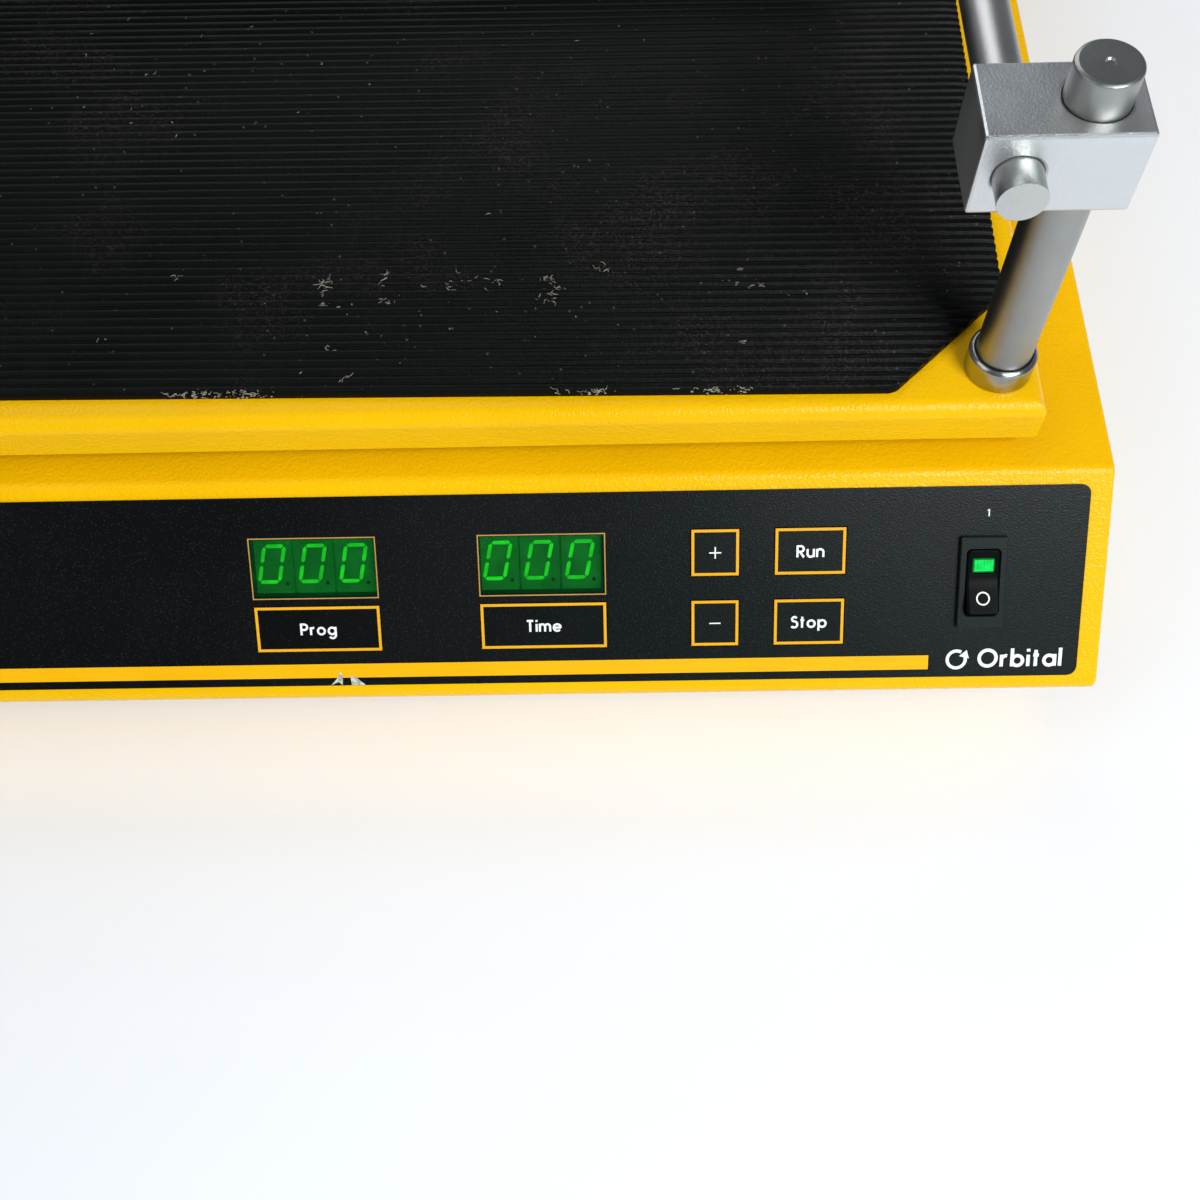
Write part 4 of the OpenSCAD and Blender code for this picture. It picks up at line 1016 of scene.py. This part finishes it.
class SHAKER_OT_displays(bpy.types.Operator):
    """Sets six digit modules behind two tinted windows, in dark liners"""
    bl_idname = "shaker.displays"
    bl_label = "Displays"

    def execute(self, context):
        modules, films, liners = Shape(), Shape(), Shape()
        low = MODULE_FACE - MODULE_D
        for x in WINDOW_X:
            cx, cy = x + WINDOW_W / 2, WINDOW_Y + WINDOW_H / 2
            for i in (-1, 0, 1):
                mx = cx + MODULE_SHIFT + i * MODULE_W
                modules.block(MODULE_W - 0.5, MODULE_H, low, MODULE_FACE, mx, cy, 0.25, 0.12)
                for bar in digit_segments():
                    modules.plate([p + Vector((mx + DIGIT_SHIFT, cy)) for p in bar], [],
                                  MODULE_FACE, MODULE_FACE + 0.06, 1)
                modules.turned([(POINT_R, MODULE_FACE), (POINT_R, MODULE_FACE + 0.04)], 16,
                               mx + POINT_X, cy + POINT_Y, 2)
            liners.plate(rectangle(WINDOW_W - 0.05, WINDOW_H - 0.05, 0, 1, cx, cy),
                         [rectangle(WINDOW_W - 0.9, WINDOW_H - 0.5, 0.3, 3, cx, cy)],
                         MODULE_FACE - 0.5, LABEL_T - 0.05)
            films.block(WINDOW_W - 1.0, WINDOW_H - 0.6, -0.9, 0.1, cx, cy, 0.3, 0.05)
        # the modules' faces glow with painted light; only their segments are lit from within
        fit(modules.object("digit_modules", [finish("module_face_painted_glow"), finish("lit_segment"),
                                             finish("recess_black")], CONSOLE),
            "case", "digit_module", "digit_displays")
        fit(films.object("window_films", [finish("tinted_film")], CONSOLE),
            "case", "display_window", "display_windows")
        fit(liners.object("window_liners", [finish("recess_black")], CONSOLE),
            "case", "black_plastic")
        for node, name in (("control_board", "circuit_board"), ("key_switches", "black_plastic"),
                           ("board_standoffs", "bright_steel")):
            keep(node, name, 0.12)
        return {"FINISHED"}


def rocker_height(y):
    """Height of the rocker's top over its pivot: two faces that fall to a soft middle."""
    soft = 1.6
    return ROCKER_TOP + (math.sqrt(y * y + soft * soft) - soft * 0.35) * math.tan(ROCKER_TILT)


class SHAKER_OT_switch(bpy.types.Operator):
    """Makes the power switch: bezel, rocker and green lens"""
    bl_idname = "shaker.switch"
    bl_label = "Power switch"

    def execute(self, context):
        self.bezel()
        self.rocker()
        self.lens()
        return {"FINISHED"}

    def bezel(self):
        """The frame's outline at each height: outside from below, over the rim, then inside."""
        shape, place = Shape(), CONSOLE @ Matrix.Translation((SWITCH_X, SWITCH_Y, 0))
        top = LABEL_T + BEZEL_T
        hole_w, hole_h = ROCKER_W + 0.4, 2 * ROCKER_HALF + 1.4
        rings = [(12.8, 27, 0.4, -20), (12.8, 27, 0.4, LABEL_T + 0.02),
                 (BEZEL_W, BEZEL_H, 0.6, LABEL_T + 0.02), (BEZEL_W, BEZEL_H, 0.6, top - 0.5),
                 (BEZEL_W - 0.14, BEZEL_H - 0.14, 0.6, top - 0.2),
                 (BEZEL_W - 0.6, BEZEL_H - 0.6, 0.6, top),
                 (hole_w + 0.5, hole_h + 0.5, 1.7, top),
                 (hole_w + 0.1, hole_h + 0.1, 1.5, top - 0.2),
                 (hole_w, hole_h, 1.5, top - 0.6), (hole_w, hole_h, 1.5, -9)]
        shape.loft([at_height(rectangle(w, h, r, 6), z) for w, h, r, z in rings])
        fit(shape.object("switch_bezel_frame", [finish("switch_plastic")], place),
            "case", "switch_plastic", "switch_bezel")

    def rocker(self):
        """Rows across the rocker, narrower where its four corners round off."""
        shape, rows, cols, corner, edge = Shape(), 44, 14, 1.4, 0.35
        half_w = ROCKER_W / 2
        grid = []
        for i in range(rows + 1):
            y = -ROCKER_HALF + 2 * ROCKER_HALF * (0.5 - 0.5 * math.cos(math.pi * i / rows))
            inset = max(0.0, abs(y) - (ROCKER_HALF - corner))
            reach = half_w - corner + math.sqrt(max(0.0, corner ** 2 - inset ** 2))
            row = []
            for j in range(cols + 1):
                x = reach * math.sin(math.pi * (j / cols - 0.5))
                side = min(reach - abs(x), ROCKER_HALF - abs(y))
                drop = edge * (1 - min(1.0, max(0.0, side) / edge)) ** 2
                row.append(Vector((x, y, rocker_height(y) - drop)))
            grid.append(row)
        shape.add(*slab(grid, -1.5))
        rocker = shape.object("rocker_cap", [finish("rocker_plastic")], ROCKER, 45)
        pocket = Shape()
        pocket.plate(rectangle(LENS_W + 2 * LENS_GAP, LENS_H + 2 * LENS_GAP, 0.4, 3),
                     [], -0.9, 3)
        pocket.points = [ROCKER @ self.lens_place() @ p for p in pocket.points]
        carve(rocker, pocket.object("pocket", [finish("rocker_plastic")]))
        ring = Shape()
        ring.ribbon(arc(0, OFF_RING_Y, OFF_RING_R, 0, 352.5, 47), OFF_RING_LINE, 0.0, INK_T,
                    closed=True)
        ring.points = [Vector((p.x, p.y, rocker_height(p.y) - 0.01 + p.z)) for p in ring.points]
        rocker_ring = ring.object("rocker_off_ring", [finish("white_ink")], ROCKER)
        fit(rocker, "rocker", "rocker_plastic", "switch_rocker")
        fit(rocker_ring, "rocker", "rocker_plastic")

    @staticmethod
    def lens_place():
        """From the lens's own middle to the rocker, on the face that leans back."""
        return Matrix.Rotation(ROCKER_TILT, 4, "X") @ Matrix.Translation((0, LENS_Y, ROCKER_TOP))

    def lens(self):
        """A green block with six flat-topped ribs, in a darker border."""
        shape = Shape()
        shape.block(LENS_W, LENS_H, -0.85, 0.12, 0, 0, 0.5, 0.12, 1)
        ribs, w, h = 6, 5.7, 3.6
        for i in range(ribs):
            x = (i - (ribs - 1) / 2) * w / ribs
            step = w / ribs / 2
            shape.loft([at_height(rectangle(2 * step * s, h * t, 0.12, 2, x, 0), z)
                        for s, t, z in ((1.0, 1.0, 0.10), (1.0, 1.0, 0.24), (0.8, 0.97, 0.34),
                                        (0.45, 0.93, 0.39))])
        fit(shape.object("switch_lens_ribbed", [finish("lens_glow"), finish("lens_border")],
                         ROCKER @ self.lens_place()),
            "rocker", "green_lens", "switch_lens")


def slab(grid, floor):
    """Points and faces of a closed slab on a flat floor, with a grid of points on top."""
    rows, cols = len(grid), len(grid[0])
    top = [p for row in grid for p in row]
    rim = ([(0, j) for j in range(cols)] + [(i, cols - 1) for i in range(1, rows)]
           + [(rows - 1, j) for j in range(cols - 2, -1, -1)]
           + [(i, 0) for i in range(rows - 2, 0, -1)])
    faces = [(i * cols + j, i * cols + j + 1, (i + 1) * cols + j + 1, (i + 1) * cols + j)
             for i in range(rows - 1) for j in range(cols - 1)]
    base = len(top)
    under = [Vector((grid[i][j].x, grid[i][j].y, floor)) for i, j in rim]
    for k, (i, j) in enumerate(rim):
        m = (k + 1) % len(rim)
        faces.append((i * cols + j, base + k, base + m, rim[m][0] * cols + rim[m][1]))
    faces.append(tuple(base + k for k in reversed(range(len(rim)))))
    return top + under, faces


class SHAKER_OT_tray(bpy.types.Operator):
    """Folds the yellow tray, with bent edges and its bosses underneath"""
    bl_idname = "shaker.tray"
    bl_label = "Platform tray"

    def execute(self, context):
        low, high = box("platform_tray")
        w, d = high.x - low.x + 2 * TRAY_SPREAD, high.y - low.y
        cx, cy = (low.x + high.x) / 2, (low.y + high.y) / 2
        lip = max(low.z, high.z - TRAY_LIP)

        def ring(inset, z):
            corner = max(TRAY_CORNER - inset, 0.02) if inset < TRAY_T else 0.3
            return at_height(rectangle(w - 2 * inset, d - 2 * inset, corner, 5, cx, cy), z)
        rings = [ring(TRAY_T + 2.6, high.z - TRAY_T), ring(TRAY_T, high.z - TRAY_T - 2.6),
                 ring(TRAY_T, lip + 0.3), ring(TRAY_T - 0.3, lip), ring(0.4, lip),
                 ring(0.1, lip + 0.12), ring(0, lip + 0.4)]
        for k in range(9):
            g = math.radians(90) * k / 8
            rings.append(ring(TRAY_BEND * (1 - math.cos(g)),
                              high.z - TRAY_BEND * (1 - math.sin(g))))
        shape = Shape()
        shape.loft(rings)
        for x, y in post_places():
            z = high.z - TRAY_T
            shape.turned([(10.2, z - 8), (10.8, z - 7.6), (11, z - 7), (11, z - 1), (12, z + 0.3)],
                         40, x, y)
        fit(shape.object("platform_tray_folded", [finish("yellow_paint")]),
            "platform", "tray_paint", "platform_tray")
        return {"FINISHED"}


def post_places():
    """Where the four posts stand."""
    low, high = box("posts")
    return [(x, y) for x in (low.x + POST_R, high.x - POST_R)
            for y in (low.y + POST_R, high.y - POST_R)]


class SHAKER_OT_mat(bpy.types.Operator):
    """Lays the ribbed mat with its cut corners, and the lint caught on it"""
    bl_idname = "shaker.mat"
    bl_label = "Rubber mat"

    def execute(self, context):
        sizes = context.scene.shaker_mat
        pitch, depth = sizes.rib_pitch / MM, sizes.rib_depth / MM
        low, high = box("rubber_mat")
        w, d, cut = MAT_W, MAT_D, MAT_CUT
        place = (Matrix.Translation(((low.x + high.x) / 2, (low.y + high.y) / 2 + MAT_SHIFT, 0))
                 @ Matrix.Rotation(-MAT_SKEW, 4, "Z"))
        count = round(d / pitch)
        pitch = d / count
        # one rib, as shares of the pitch and of the depth
        steps = (0.0, 0.10, 0.20, 0.34, 0.50, 0.66, 0.80, 0.90)
        heights = (0.0, 0.12, 0.72, 0.95, 1.0, 0.95, 0.72, 0.12)
        grid = []
        for k in range(count * len(steps) + 1):
            rib, s = divmod(k, len(steps))
            y = -d / 2 + (rib + steps[s]) * pitch
            raised = heights[s]
            inset = max(0.0, abs(y) - (d / 2 - cut))
            turn = max(0.0, abs(y) - (d / 2 - MAT_EDGE)) / MAT_EDGE
            reach = w / 2 - inset - MAT_EDGE * turn ** 3
            row = []
            for j in range(sizes.columns + 1):
                x = -reach + 2 * reach * j / sizes.columns
                # the ribs wander a little, and are worn in patches and torn in places
                wave = noise.noise(Vector((x * 0.02, rib * 3.7, 1.0))) * 0.16
                wear = noise.noise(Vector((x * 0.012, y * 0.012, 5.0)))
                nick = noise.noise(Vector((x * 0.11, rib * 9.1, 9.0)))
                crown = 1 - 0.12 * max(0.0, wear) - 0.55 * max(0.0, nick - 0.42)
                z = high.z - depth + depth * raised * crown
                edge = min(reach - abs(x), d / 2 - abs(y))
                z -= 0.35 * max(0.0, 1 - edge / 0.6)
                row.append(Vector((x, y + (wave if 0 < k < count * len(steps) else 0), z)))
            grid.append(row)
        shape = Shape()
        shape.add(*slab(grid, low.z + 0.01))
        mat = shape.object("ribbed_mat", [finish("mat_rubber")], place, 60)
        fit(mat, "platform", "mat_rubber", "rubber_mat")
        self.lint(high.z)
        return {"FINISHED"}

    def lint(self, top):
        """Torn fibres in the ribs, and crumbs of dried residue along the mat's front edge."""
        chance = random.Random(7)
        shape = Shape()
        # middle X and Y, spread in X and Y, number of fibres, length
        patches = (
            (-32, -158, 2, 3, 7, 3), (13, -162, 2.5, 3.5, 16, 3.5), (14, -169, 1.5, 1, 5, 3),
            (33, -169, 2, 1.5, 6, 3), (32, -159, 2, 1.5, 6, 2.5), (46, -162, 14, 4, 14, 2.5),
            (65, -162, 2, 1.5, 6, 3), (81, -162, 2.5, 1.5, 9, 3.5), (84, -166, 3, 1.5, 9, 3.5),
            (81, -169, 3, 1, 7, 3), (96, -158, 2, 1, 6, 3), (22, -197, 1.5, 1, 6, 2.5),
            (17, -186, 1, 1, 3, 2), (139, -159, 2.5, 1, 5, 2.5), (142, -165, 9, 3, 9, 2.5),
            (138, -187, 1, 1, 5, 2), (155, -168, 8, 3, 5, 2), (-52, -182, 4, 1, 3, 1.5),
            (40, -180, 60, 20, 28, 1.2), (-60, -60, 120, 90, 60, 2), (90, 60, 110, 120, 60, 2),
        )
        for x, y, sx, sy, count, length in patches:
            for _ in range(count):
                self.fibre(shape, chance, chance.gauss(x, sx / 2), chance.gauss(y, sy / 2),
                           top - 0.15, length)
        # along the front edge: middle X, spread, number of lumps and strands
        for x, sx, count in ((-16, 6.5, 70), (-4, 3.0, 22), (85, 1.4, 9), (95.5, 2.6, 26),
                             (131, 4.5, 34), (137, 2.5, 10), (-110, 9.0, 30)):
            for k in range(count):
                px = chance.gauss(x, sx)
                py = edge_y(px) + chance.uniform(-0.5, 0.5)
                if k % 3:
                    self.crumb(shape, chance, px, py, top - chance.uniform(0.4, 2.4),
                               chance.uniform(0.15, 0.55))
                else:
                    self.fibre(shape, chance, px, py, top - 0.2, 3.0)
        fit(shape.object("mat_lint", [finish("mat_lint")]), "platform")

    def fibre(self, shape, chance, x, y, z, length):
        """A short curled strand, mostly along the ribs."""
        heading = chance.gauss(0, 0.5) + (math.pi if chance.random() < 0.5 else 0)
        steps = 6
        step = length * chance.uniform(0.4, 1.0) / steps
        radius = chance.uniform(0.06, 0.17)
        rings, point = [], Vector((x, y, z))
        for k in range(steps + 1):
            heading += chance.gauss(0, 0.55)
            side = Vector((-math.sin(heading), math.cos(heading), 0))
            r = radius * (0.4 + 0.6 * math.sin(math.pi * (k + 0.5) / (steps + 1)))
            rings.append([point + side * r, point + Vector((0, 0, r)), point - side * r,
                          point - Vector((0, 0, r))])
            point = point + Vector((math.cos(heading), math.sin(heading), 0)) * step
            point.z = min(z + 0.1, max(z - 0.5, point.z + chance.gauss(0, 0.12)))
        shape.loft(rings)

    def crumb(self, shape, chance, x, y, z, size):
        """A small uneven lump."""
        rings = []
        for r, h in ((0.35, -0.45), (0.9, -0.15), (1.0, 0.2), (0.45, 0.5)):
            rings.append([Vector((x + size * r * math.cos(g) * chance.uniform(0.7, 1.2),
                                  y + size * 0.6 * r * math.sin(g) * chance.uniform(0.7, 1.2),
                                  z + size * 0.7 * h))
                          for g in [2 * math.pi * i / 6 for i in range(6)]])
        shape.loft(rings)


def edge_y(x):
    """Where the mat's front edge lies at x, with the mat askew."""
    low, high = box("rubber_mat")
    middle = Vector(((low.x + high.x) / 2, (low.y + high.y) / 2))
    return middle.y + MAT_SHIFT - MAT_D / 2 - (x - middle.x) * math.tan(MAT_SKEW)


class SHAKER_OT_posts(bpy.types.Operator):
    """Turns the four posts and the collars at their feet"""
    bl_idname = "shaker.posts"
    bl_label = "Posts and collars"

    def execute(self, context):
        low, high = box("posts")
        tray_top = box("platform_tray")[1].z
        posts, collars = Shape(), Shape()
        for x, y in post_places():
            posts.turned([(STUD_R - 0.4, low.z), (STUD_R, low.z + 0.5),
                          (STUD_R, tray_top - 0.5), (POST_R - 0.1, tray_top),
                          (POST_R, tray_top + 0.2), (POST_R, high.z - 1.1),
                          (7.8, high.z - 0.5), (7.3, high.z - 0.1), (6.8, high.z),
                          (1.4, high.z), (1.0, high.z - 0.5)], 64, x, y)
            profile = [(COLLAR_BORE, 0.1), (COLLAR_R - 0.35, 0), (COLLAR_R, 0.35),
                       (COLLAR_R, COLLAR_H - 1.1), (COLLAR_R - 0.12, COLLAR_H - 0.75),
                       (COLLAR_R - 0.85, COLLAR_H - 0.08), (COLLAR_R - 1.05, COLLAR_H),
                       (COLLAR_BORE + 0.42, COLLAR_H), (COLLAR_BORE + 0.30, COLLAR_H - 0.12),
                       (COLLAR_BORE + 0.28, COLLAR_H - 1.2), (COLLAR_BORE, COLLAR_H - 1.3)]
            collars.loft([at_height(circle(r, 64, x, y), tray_top + z) for r, z in profile],
                         closed=True)
        fit(posts.object("corner_posts", [finish("brushed_post")]),
            "platform", "brushed_post", "posts")
        fit(collars.object("corner_collars", [finish("polished_collar")]),
            "platform", "polished_collar", "post_collars")
        return {"FINISHED"}


class SHAKER_OT_holding_frame(bpy.types.Operator):
    """Finishes the rails, clamps, bars and thumb screws above the platform"""
    bl_idname = "shaker.holding_frame"
    bl_label = "Holding frame"

    def execute(self, context):
        keep("rail_clamps", "aluminium", 0.8)
        keep("side_rails", "brushed_rail", 0.6)
        for end in ("front", "rear"):
            keep("clamp_bar_" + end, "brushed_bar", 0.4)
            keep("bar_ends_" + end, "aluminium", 0.8)
            self.sleeve(end)
            self.thumb_screw(end)
        return {"FINISHED"}

    def sleeve(self, end):
        """A rubber sleeve with shallow grooves round it and soft ends."""
        low, high = box("bar_sleeve_" + end)
        r, length = (high.z - low.z) / 2, high.x - low.x
        place = (Matrix.Translation((low.x, (low.y + high.y) / 2, (low.z + high.z) / 2))
                 @ Matrix.Rotation(math.radians(90), 4, "Y"))
        soft_end = [(SLEEVE_BORE, 0.3), (r - 1.6, 0), (r - 0.5, 0.5), (r, 1.8)]
        profile = list(soft_end)
        for i in range(1, SLEEVE_RINGS):
            z = length * i / SLEEVE_RINGS
            profile += [(r, z - 1.4), (r - 0.7, z - 0.6), (r - 0.7, z + 0.6), (r, z + 1.4)]
        profile += [(a, length - z) for a, z in reversed(soft_end)]
        shape = Shape()
        shape.loft([at_height(circle(a, 48), z) for a, z in profile], closed=True)
        fit(shape.object("sleeve_" + end, [finish("sleeve_rubber")], place),
            "bar_" + end, "sleeve_rubber", "bar_sleeve_" + end)

    def thumb_screw(self, end):
        """A fluted knob on its steel stem."""
        low, high = box("thumb_screw_" + end)
        x, y = (low.x + high.x) / 2, (low.y + high.y) / 2
        steps = 8 * KNOB_FLUTES

        def fluted(r, z, bite):
            ring = []
            for i in range(steps):
                g = 2 * math.pi * i / steps
                cut = r - bite * (0.5 + 0.5 * math.cos(KNOB_FLUTES * g)) ** 3
                ring.append(Vector((x + cut * math.cos(g), y + cut * math.sin(g), z)))
            return ring
        knob_low = high.z - KNOB_H
        shape = Shape()
        # radius, height and depth of the flutes, from under the rim to the dished top
        shape.loft([fluted(6.0, knob_low, 0), fluted(8.8, knob_low, 0.3),
                    fluted(9.8, knob_low + 0.8, 1.1), fluted(9.9, knob_low + 1.5, 1.3),
                    fluted(9.9, high.z - 1.8, 1.3), fluted(9.5, high.z - 0.7, 1.1),
                    fluted(8.4, high.z - 0.05, 0.4), fluted(6.6, high.z, 0),
                    fluted(6.0, high.z - 0.5, 0), fluted(2.0, high.z - 0.7, 0)])
        shape.turned([(2.6, low.z), (3.0, low.z + 0.4), (3.0, knob_low - 1.2),
                      (4.6, knob_low - 1.0), (4.6, knob_low + 0.2)], 40, x, y, 1)
        fit(shape.object("thumb_knob_" + end, [finish("thumb_plastic"),
                                               finish("bright_steel")]),
            "thumb_" + end, "thumb_plastic", "thumb_screw_" + end)


class SHAKER_OT_screws_and_feet(bpy.types.Operator):
    """Makes the case's button-head screws and the rubber feet"""
    bl_idname = "shaker.screws_and_feet"
    bl_label = "Screws and feet"

    def execute(self, context):
        self.case_screws()
        self.feet()
        keep("foot_screws", "bright_steel", 0.25)
        return {"FINISHED"}

    def case_screws(self):
        """Three button heads on each side, each with its shank and a hexagon socket."""
        low, high = box("housing_screws")
        case_low, case_high = box("housing")
        z = (low.z + high.z) / 2
        depth = case_high.y - case_low.y
        screw = Shape()
        head = [(1.9, -7.5), (1.9, 0.02), (3.7, 0.02), (3.8, 0.35), (3.6, 1.0), (2.9, 1.75),
                (2.2, 2.1), (1.75, 2.18)]
        screw.loft([at_height(circle(r), h) for r, h in head]
                   + [at_height(hexagon(2.5), h) for h in (2.05, 0.9)])
        shape = Shape()
        for share in CASE_SCREWS:
            for side in (-1, 1):
                place = (Matrix.Translation((side * case_high.x, share * depth, z))
                         @ Matrix.Rotation(math.radians(90 * side), 4, "Y"))
                shape.add([place @ p for p in screw.points], screw.faces)
        fit(shape.object("case_screws", [finish("bright_steel")]), "case", "bright_steel",
            "housing_screws")

    def feet(self):
        """Four rubber feet with a groove round them and a recess for the screw."""
        low, high = box("rubber_feet")
        # radius and height: the bore and recess downwards, then the outside upwards
        profile = [(2.6, 15), (2.6, 11), (6, 11), (6, 0.6), (6.6, 0), (13.2, 0), (13.9, 0.5),
                   (14.1, 2.0), (14.9, 7.0), (14.5, 7.5), (14.5, 8.3), (15.1, 8.8),
                   (15.9, 14.2), (15.6, 15)]
        shape = Shape()
        for x in (low.x + FOOT_R, high.x - FOOT_R):
            for y in (low.y + FOOT_R, high.y - FOOT_R):
                shape.loft([at_height(circle(r, 60, x, y), z) for r, z in profile], closed=True)
        fit(shape.object("feet", [finish("foot_rubber")]), "case", "foot_rubber", "rubber_feet")


class SHAKER_OT_rear_side(bpy.types.Operator):
    """Finishes the rear panel, the mains inlet and its fuse drawer"""
    bl_idname = "shaker.rear_side"
    bl_label = "Rear side"

    def execute(self, context):
        keep("rear_panel", "yellow_paint", 0.3)
        keep("power_inlet", "black_plastic", 0.35)
        keep("fuse_drawer", "black_plastic", 0.3)
        keep("base_plate", "zinc", 0.4)
        keep("power_supply", "zinc", 0.5)
        return {"FINISHED"}


class SHAKER_OT_drive(bpy.types.Operator):
    """Finishes the motor, belt, shafts, cranks and the platform's frame"""
    bl_idname = "shaker.drive"
    bl_label = "Drive"

    def execute(self, context):
        # the finish, how far the edges are eased, and the nodes
        for name, edge, nodes in (
                ("motor_paint", 0.8, "motor"),
                ("zinc", 0.5, "motor_bracket"),
                ("belt_rubber", 0.3, "drive_belt"),
                ("cast_iron", 0.7, "counterweight"),
                ("seal_rubber", 0.2, "shaft_seals"),
                ("bronze", 0.25, "idler_bushes platform_bushes"),
                ("bearing_steel", 0.3, "bearing_outer_rings bearing_inner_rings hub_bearing_ring"),
                ("aluminium", 0.4, "motor_pulley drive_pulley"),
                ("aluminium", 0.5, "platform_frame"),
                ("aluminium", 0.7, "main_bearing_housing idler_blocks"),
                ("bright_steel", 0.2, "tray_screws"),
                ("bright_steel", 0.3, "motor_shaft"),
                ("bright_steel", 0.5, "main_shaft idler_crank_fl idler_crank_fr "
                                      "idler_crank_rl idler_crank_rr")):
            for node in nodes.split():
                keep(node, name, edge)
        return {"FINISHED"}


class SHAKER_OT_stage(bpy.types.Operator):
    """Sets the floor, the soft lights and the camera"""
    bl_idname = "shaker.stage"
    bl_label = "Stage"

    def execute(self, context):
        sizes = context.scene.shaker_stage
        self.floor(sizes)
        self.lights(context, sizes)
        self.camera(context, sizes)
        context.scene.view_settings.view_transform = "Standard"
        return {"FINISHED"}

    def floor(self, sizes):
        """A pale sheet seven metres across, which doesn't hide the feet from below."""
        shape = Shape()
        outline = at_height(rectangle(7000, 7000, 400, 8), 0)
        shape.add(outline, [range(len(outline))])
        material, g, shader = new_material("shaker_floor", sizes.floor, 0.55)
        where = g.node("ShaderNodeTexCoord").outputs["Object"]
        patches = g.group("mottle", vector=where, color=(*sizes.floor, 1), size=0.4, amount=0.02)
        g.feed(shader.inputs["Base Color"], patches["Color"])
        seen_from_below = g.node("ShaderNodeNewGeometry").outputs["Backfacing"]
        g.feed(shader.inputs["Alpha"], g.math("SUBTRACT", 1.0, seen_from_below))
        shape.object("floor", [material])

    def lights(self, context, sizes):
        """A dim even room, a key light at the front right, and weaker fills round it."""
        world = bpy.data.worlds.new("Soft room")
        context.scene.world = world
        world.use_nodes = True
        sky = world.node_tree.nodes["Background"]
        sky.inputs["Color"].default_value = (0.88, 0.94, 1.0, 1)
        sky.inputs["Strength"].default_value = 0.19
        white, cool, cyan = (1.0, 1.0, 1.0), (0.90, 0.95, 1.0), (0.45, 1.0, 1.0)
        # name, place, what it faces, width, height, power, colour
        for name, place, target, w, h, power, colour in (
                ("key", (0.80, -1.15, 1.35), (0.1, -0.1, 0.1), 0.75, 0.65,
                 sizes.key_light, white),
                ("front_card", (1.0, -1.95, 0.95), (0.2, -0.24, 0.08), 2.0, 0.8, 4.2, cyan),
                ("left_fill", (-1.5, -0.7, 1.9), (0.0, -0.1, 0.1), 1.4, 1.2, 8, white),
                ("rear_fill", (-0.5, 2.3, 1.1), (0.0, 0.2, 0.1), 1.6, 0.9, 10, white),
                ("rear_top", (-0.5, 1.5, 1.9), (0.0, 0.0, 0.1), 1.5, 1.2, 10, cool)):
            lamp = bpy.data.lights.new(name, "AREA")
            lamp.shape, lamp.size, lamp.size_y = "RECTANGLE", w, h
            lamp.energy, lamp.color = power, colour
            placed = bpy.data.objects.new(name, lamp)
            placed.location = place
            aim = Vector(target) - Vector(place)
            placed.rotation_euler = aim.to_track_quat("-Z", "Y").to_euler()
            context.scene.collection.objects.link(placed)

    def camera(self, context, sizes):
        """Looks down on the front right corner."""
        camera = bpy.data.cameras.new("Camera")
        camera.lens = sizes.lens
        camera.clip_start = 0.01
        camera.shift_x, camera.shift_y = sizes.shift
        placed = bpy.data.objects.new("Camera", camera)
        level = math.cos(sizes.down)
        ahead = Vector((math.sin(sizes.turn) * level, math.cos(sizes.turn) * level,
                        -math.sin(sizes.down)))
        right = ahead.cross(Vector((0, 0, 1))).normalized()
        below = ahead.cross(right)
        tilted = math.cos(sizes.roll) * right + math.sin(sizes.roll) * below
        below = math.cos(sizes.roll) * below - math.sin(sizes.roll) * right
        turned = Matrix((tilted, -below, -ahead)).transposed().to_4x4()
        placed.matrix_world = Matrix.Translation(sizes.camera_place) @ turned
        context.scene.collection.objects.link(placed)
        context.scene.camera = placed


class SHAKER_PT_panel(bpy.types.Panel):
    """Lists the building steps and the sizes they use"""
    bl_label = "Orbital shaker"
    bl_idname = "SHAKER_PT_panel"
    bl_space_type = "VIEW_3D"
    bl_region_type = "UI"
    bl_category = "Shaker"

    def draw(self, context):
        for holder in SETTINGS:
            column = self.layout.column(align=True)
            settings = getattr(context.scene, holder)
            for name in settings.bl_rna.properties.keys():
                if name not in ("rna_type", "name"):
                    column.prop(settings, name)
        column = self.layout.column(align=True)
        for step in STEPS:
            column.operator(step.bl_idname)


SETTINGS = {"shaker_paint": ShakerPaint, "shaker_mat": ShakerMat,
            "shaker_console": ShakerConsole, "shaker_stage": ShakerStage}
STEPS = (SHAKER_OT_case, SHAKER_OT_label, SHAKER_OT_keys, SHAKER_OT_displays, SHAKER_OT_switch,
         SHAKER_OT_tray, SHAKER_OT_mat, SHAKER_OT_posts, SHAKER_OT_holding_frame,
         SHAKER_OT_screws_and_feet, SHAKER_OT_rear_side, SHAKER_OT_drive, SHAKER_OT_stage)


def register():
    for holder, kind in SETTINGS.items():
        bpy.utils.register_class(kind)
        setattr(bpy.types.Scene, holder, PointerProperty(type=kind))
    for kind in (*STEPS, SHAKER_PT_panel):
        bpy.utils.register_class(kind)


def unregister():
    for kind in (SHAKER_PT_panel, *reversed(STEPS)):
        bpy.utils.unregister_class(kind)
    for holder, kind in SETTINGS.items():
        delattr(bpy.types.Scene, holder)
        bpy.utils.unregister_class(kind)


def main():
    register()
    for step in STEPS:
        group, name = step.bl_idname.split(".")
        getattr(getattr(bpy.ops, group), name)()


if __name__ == "__main__":
    main()
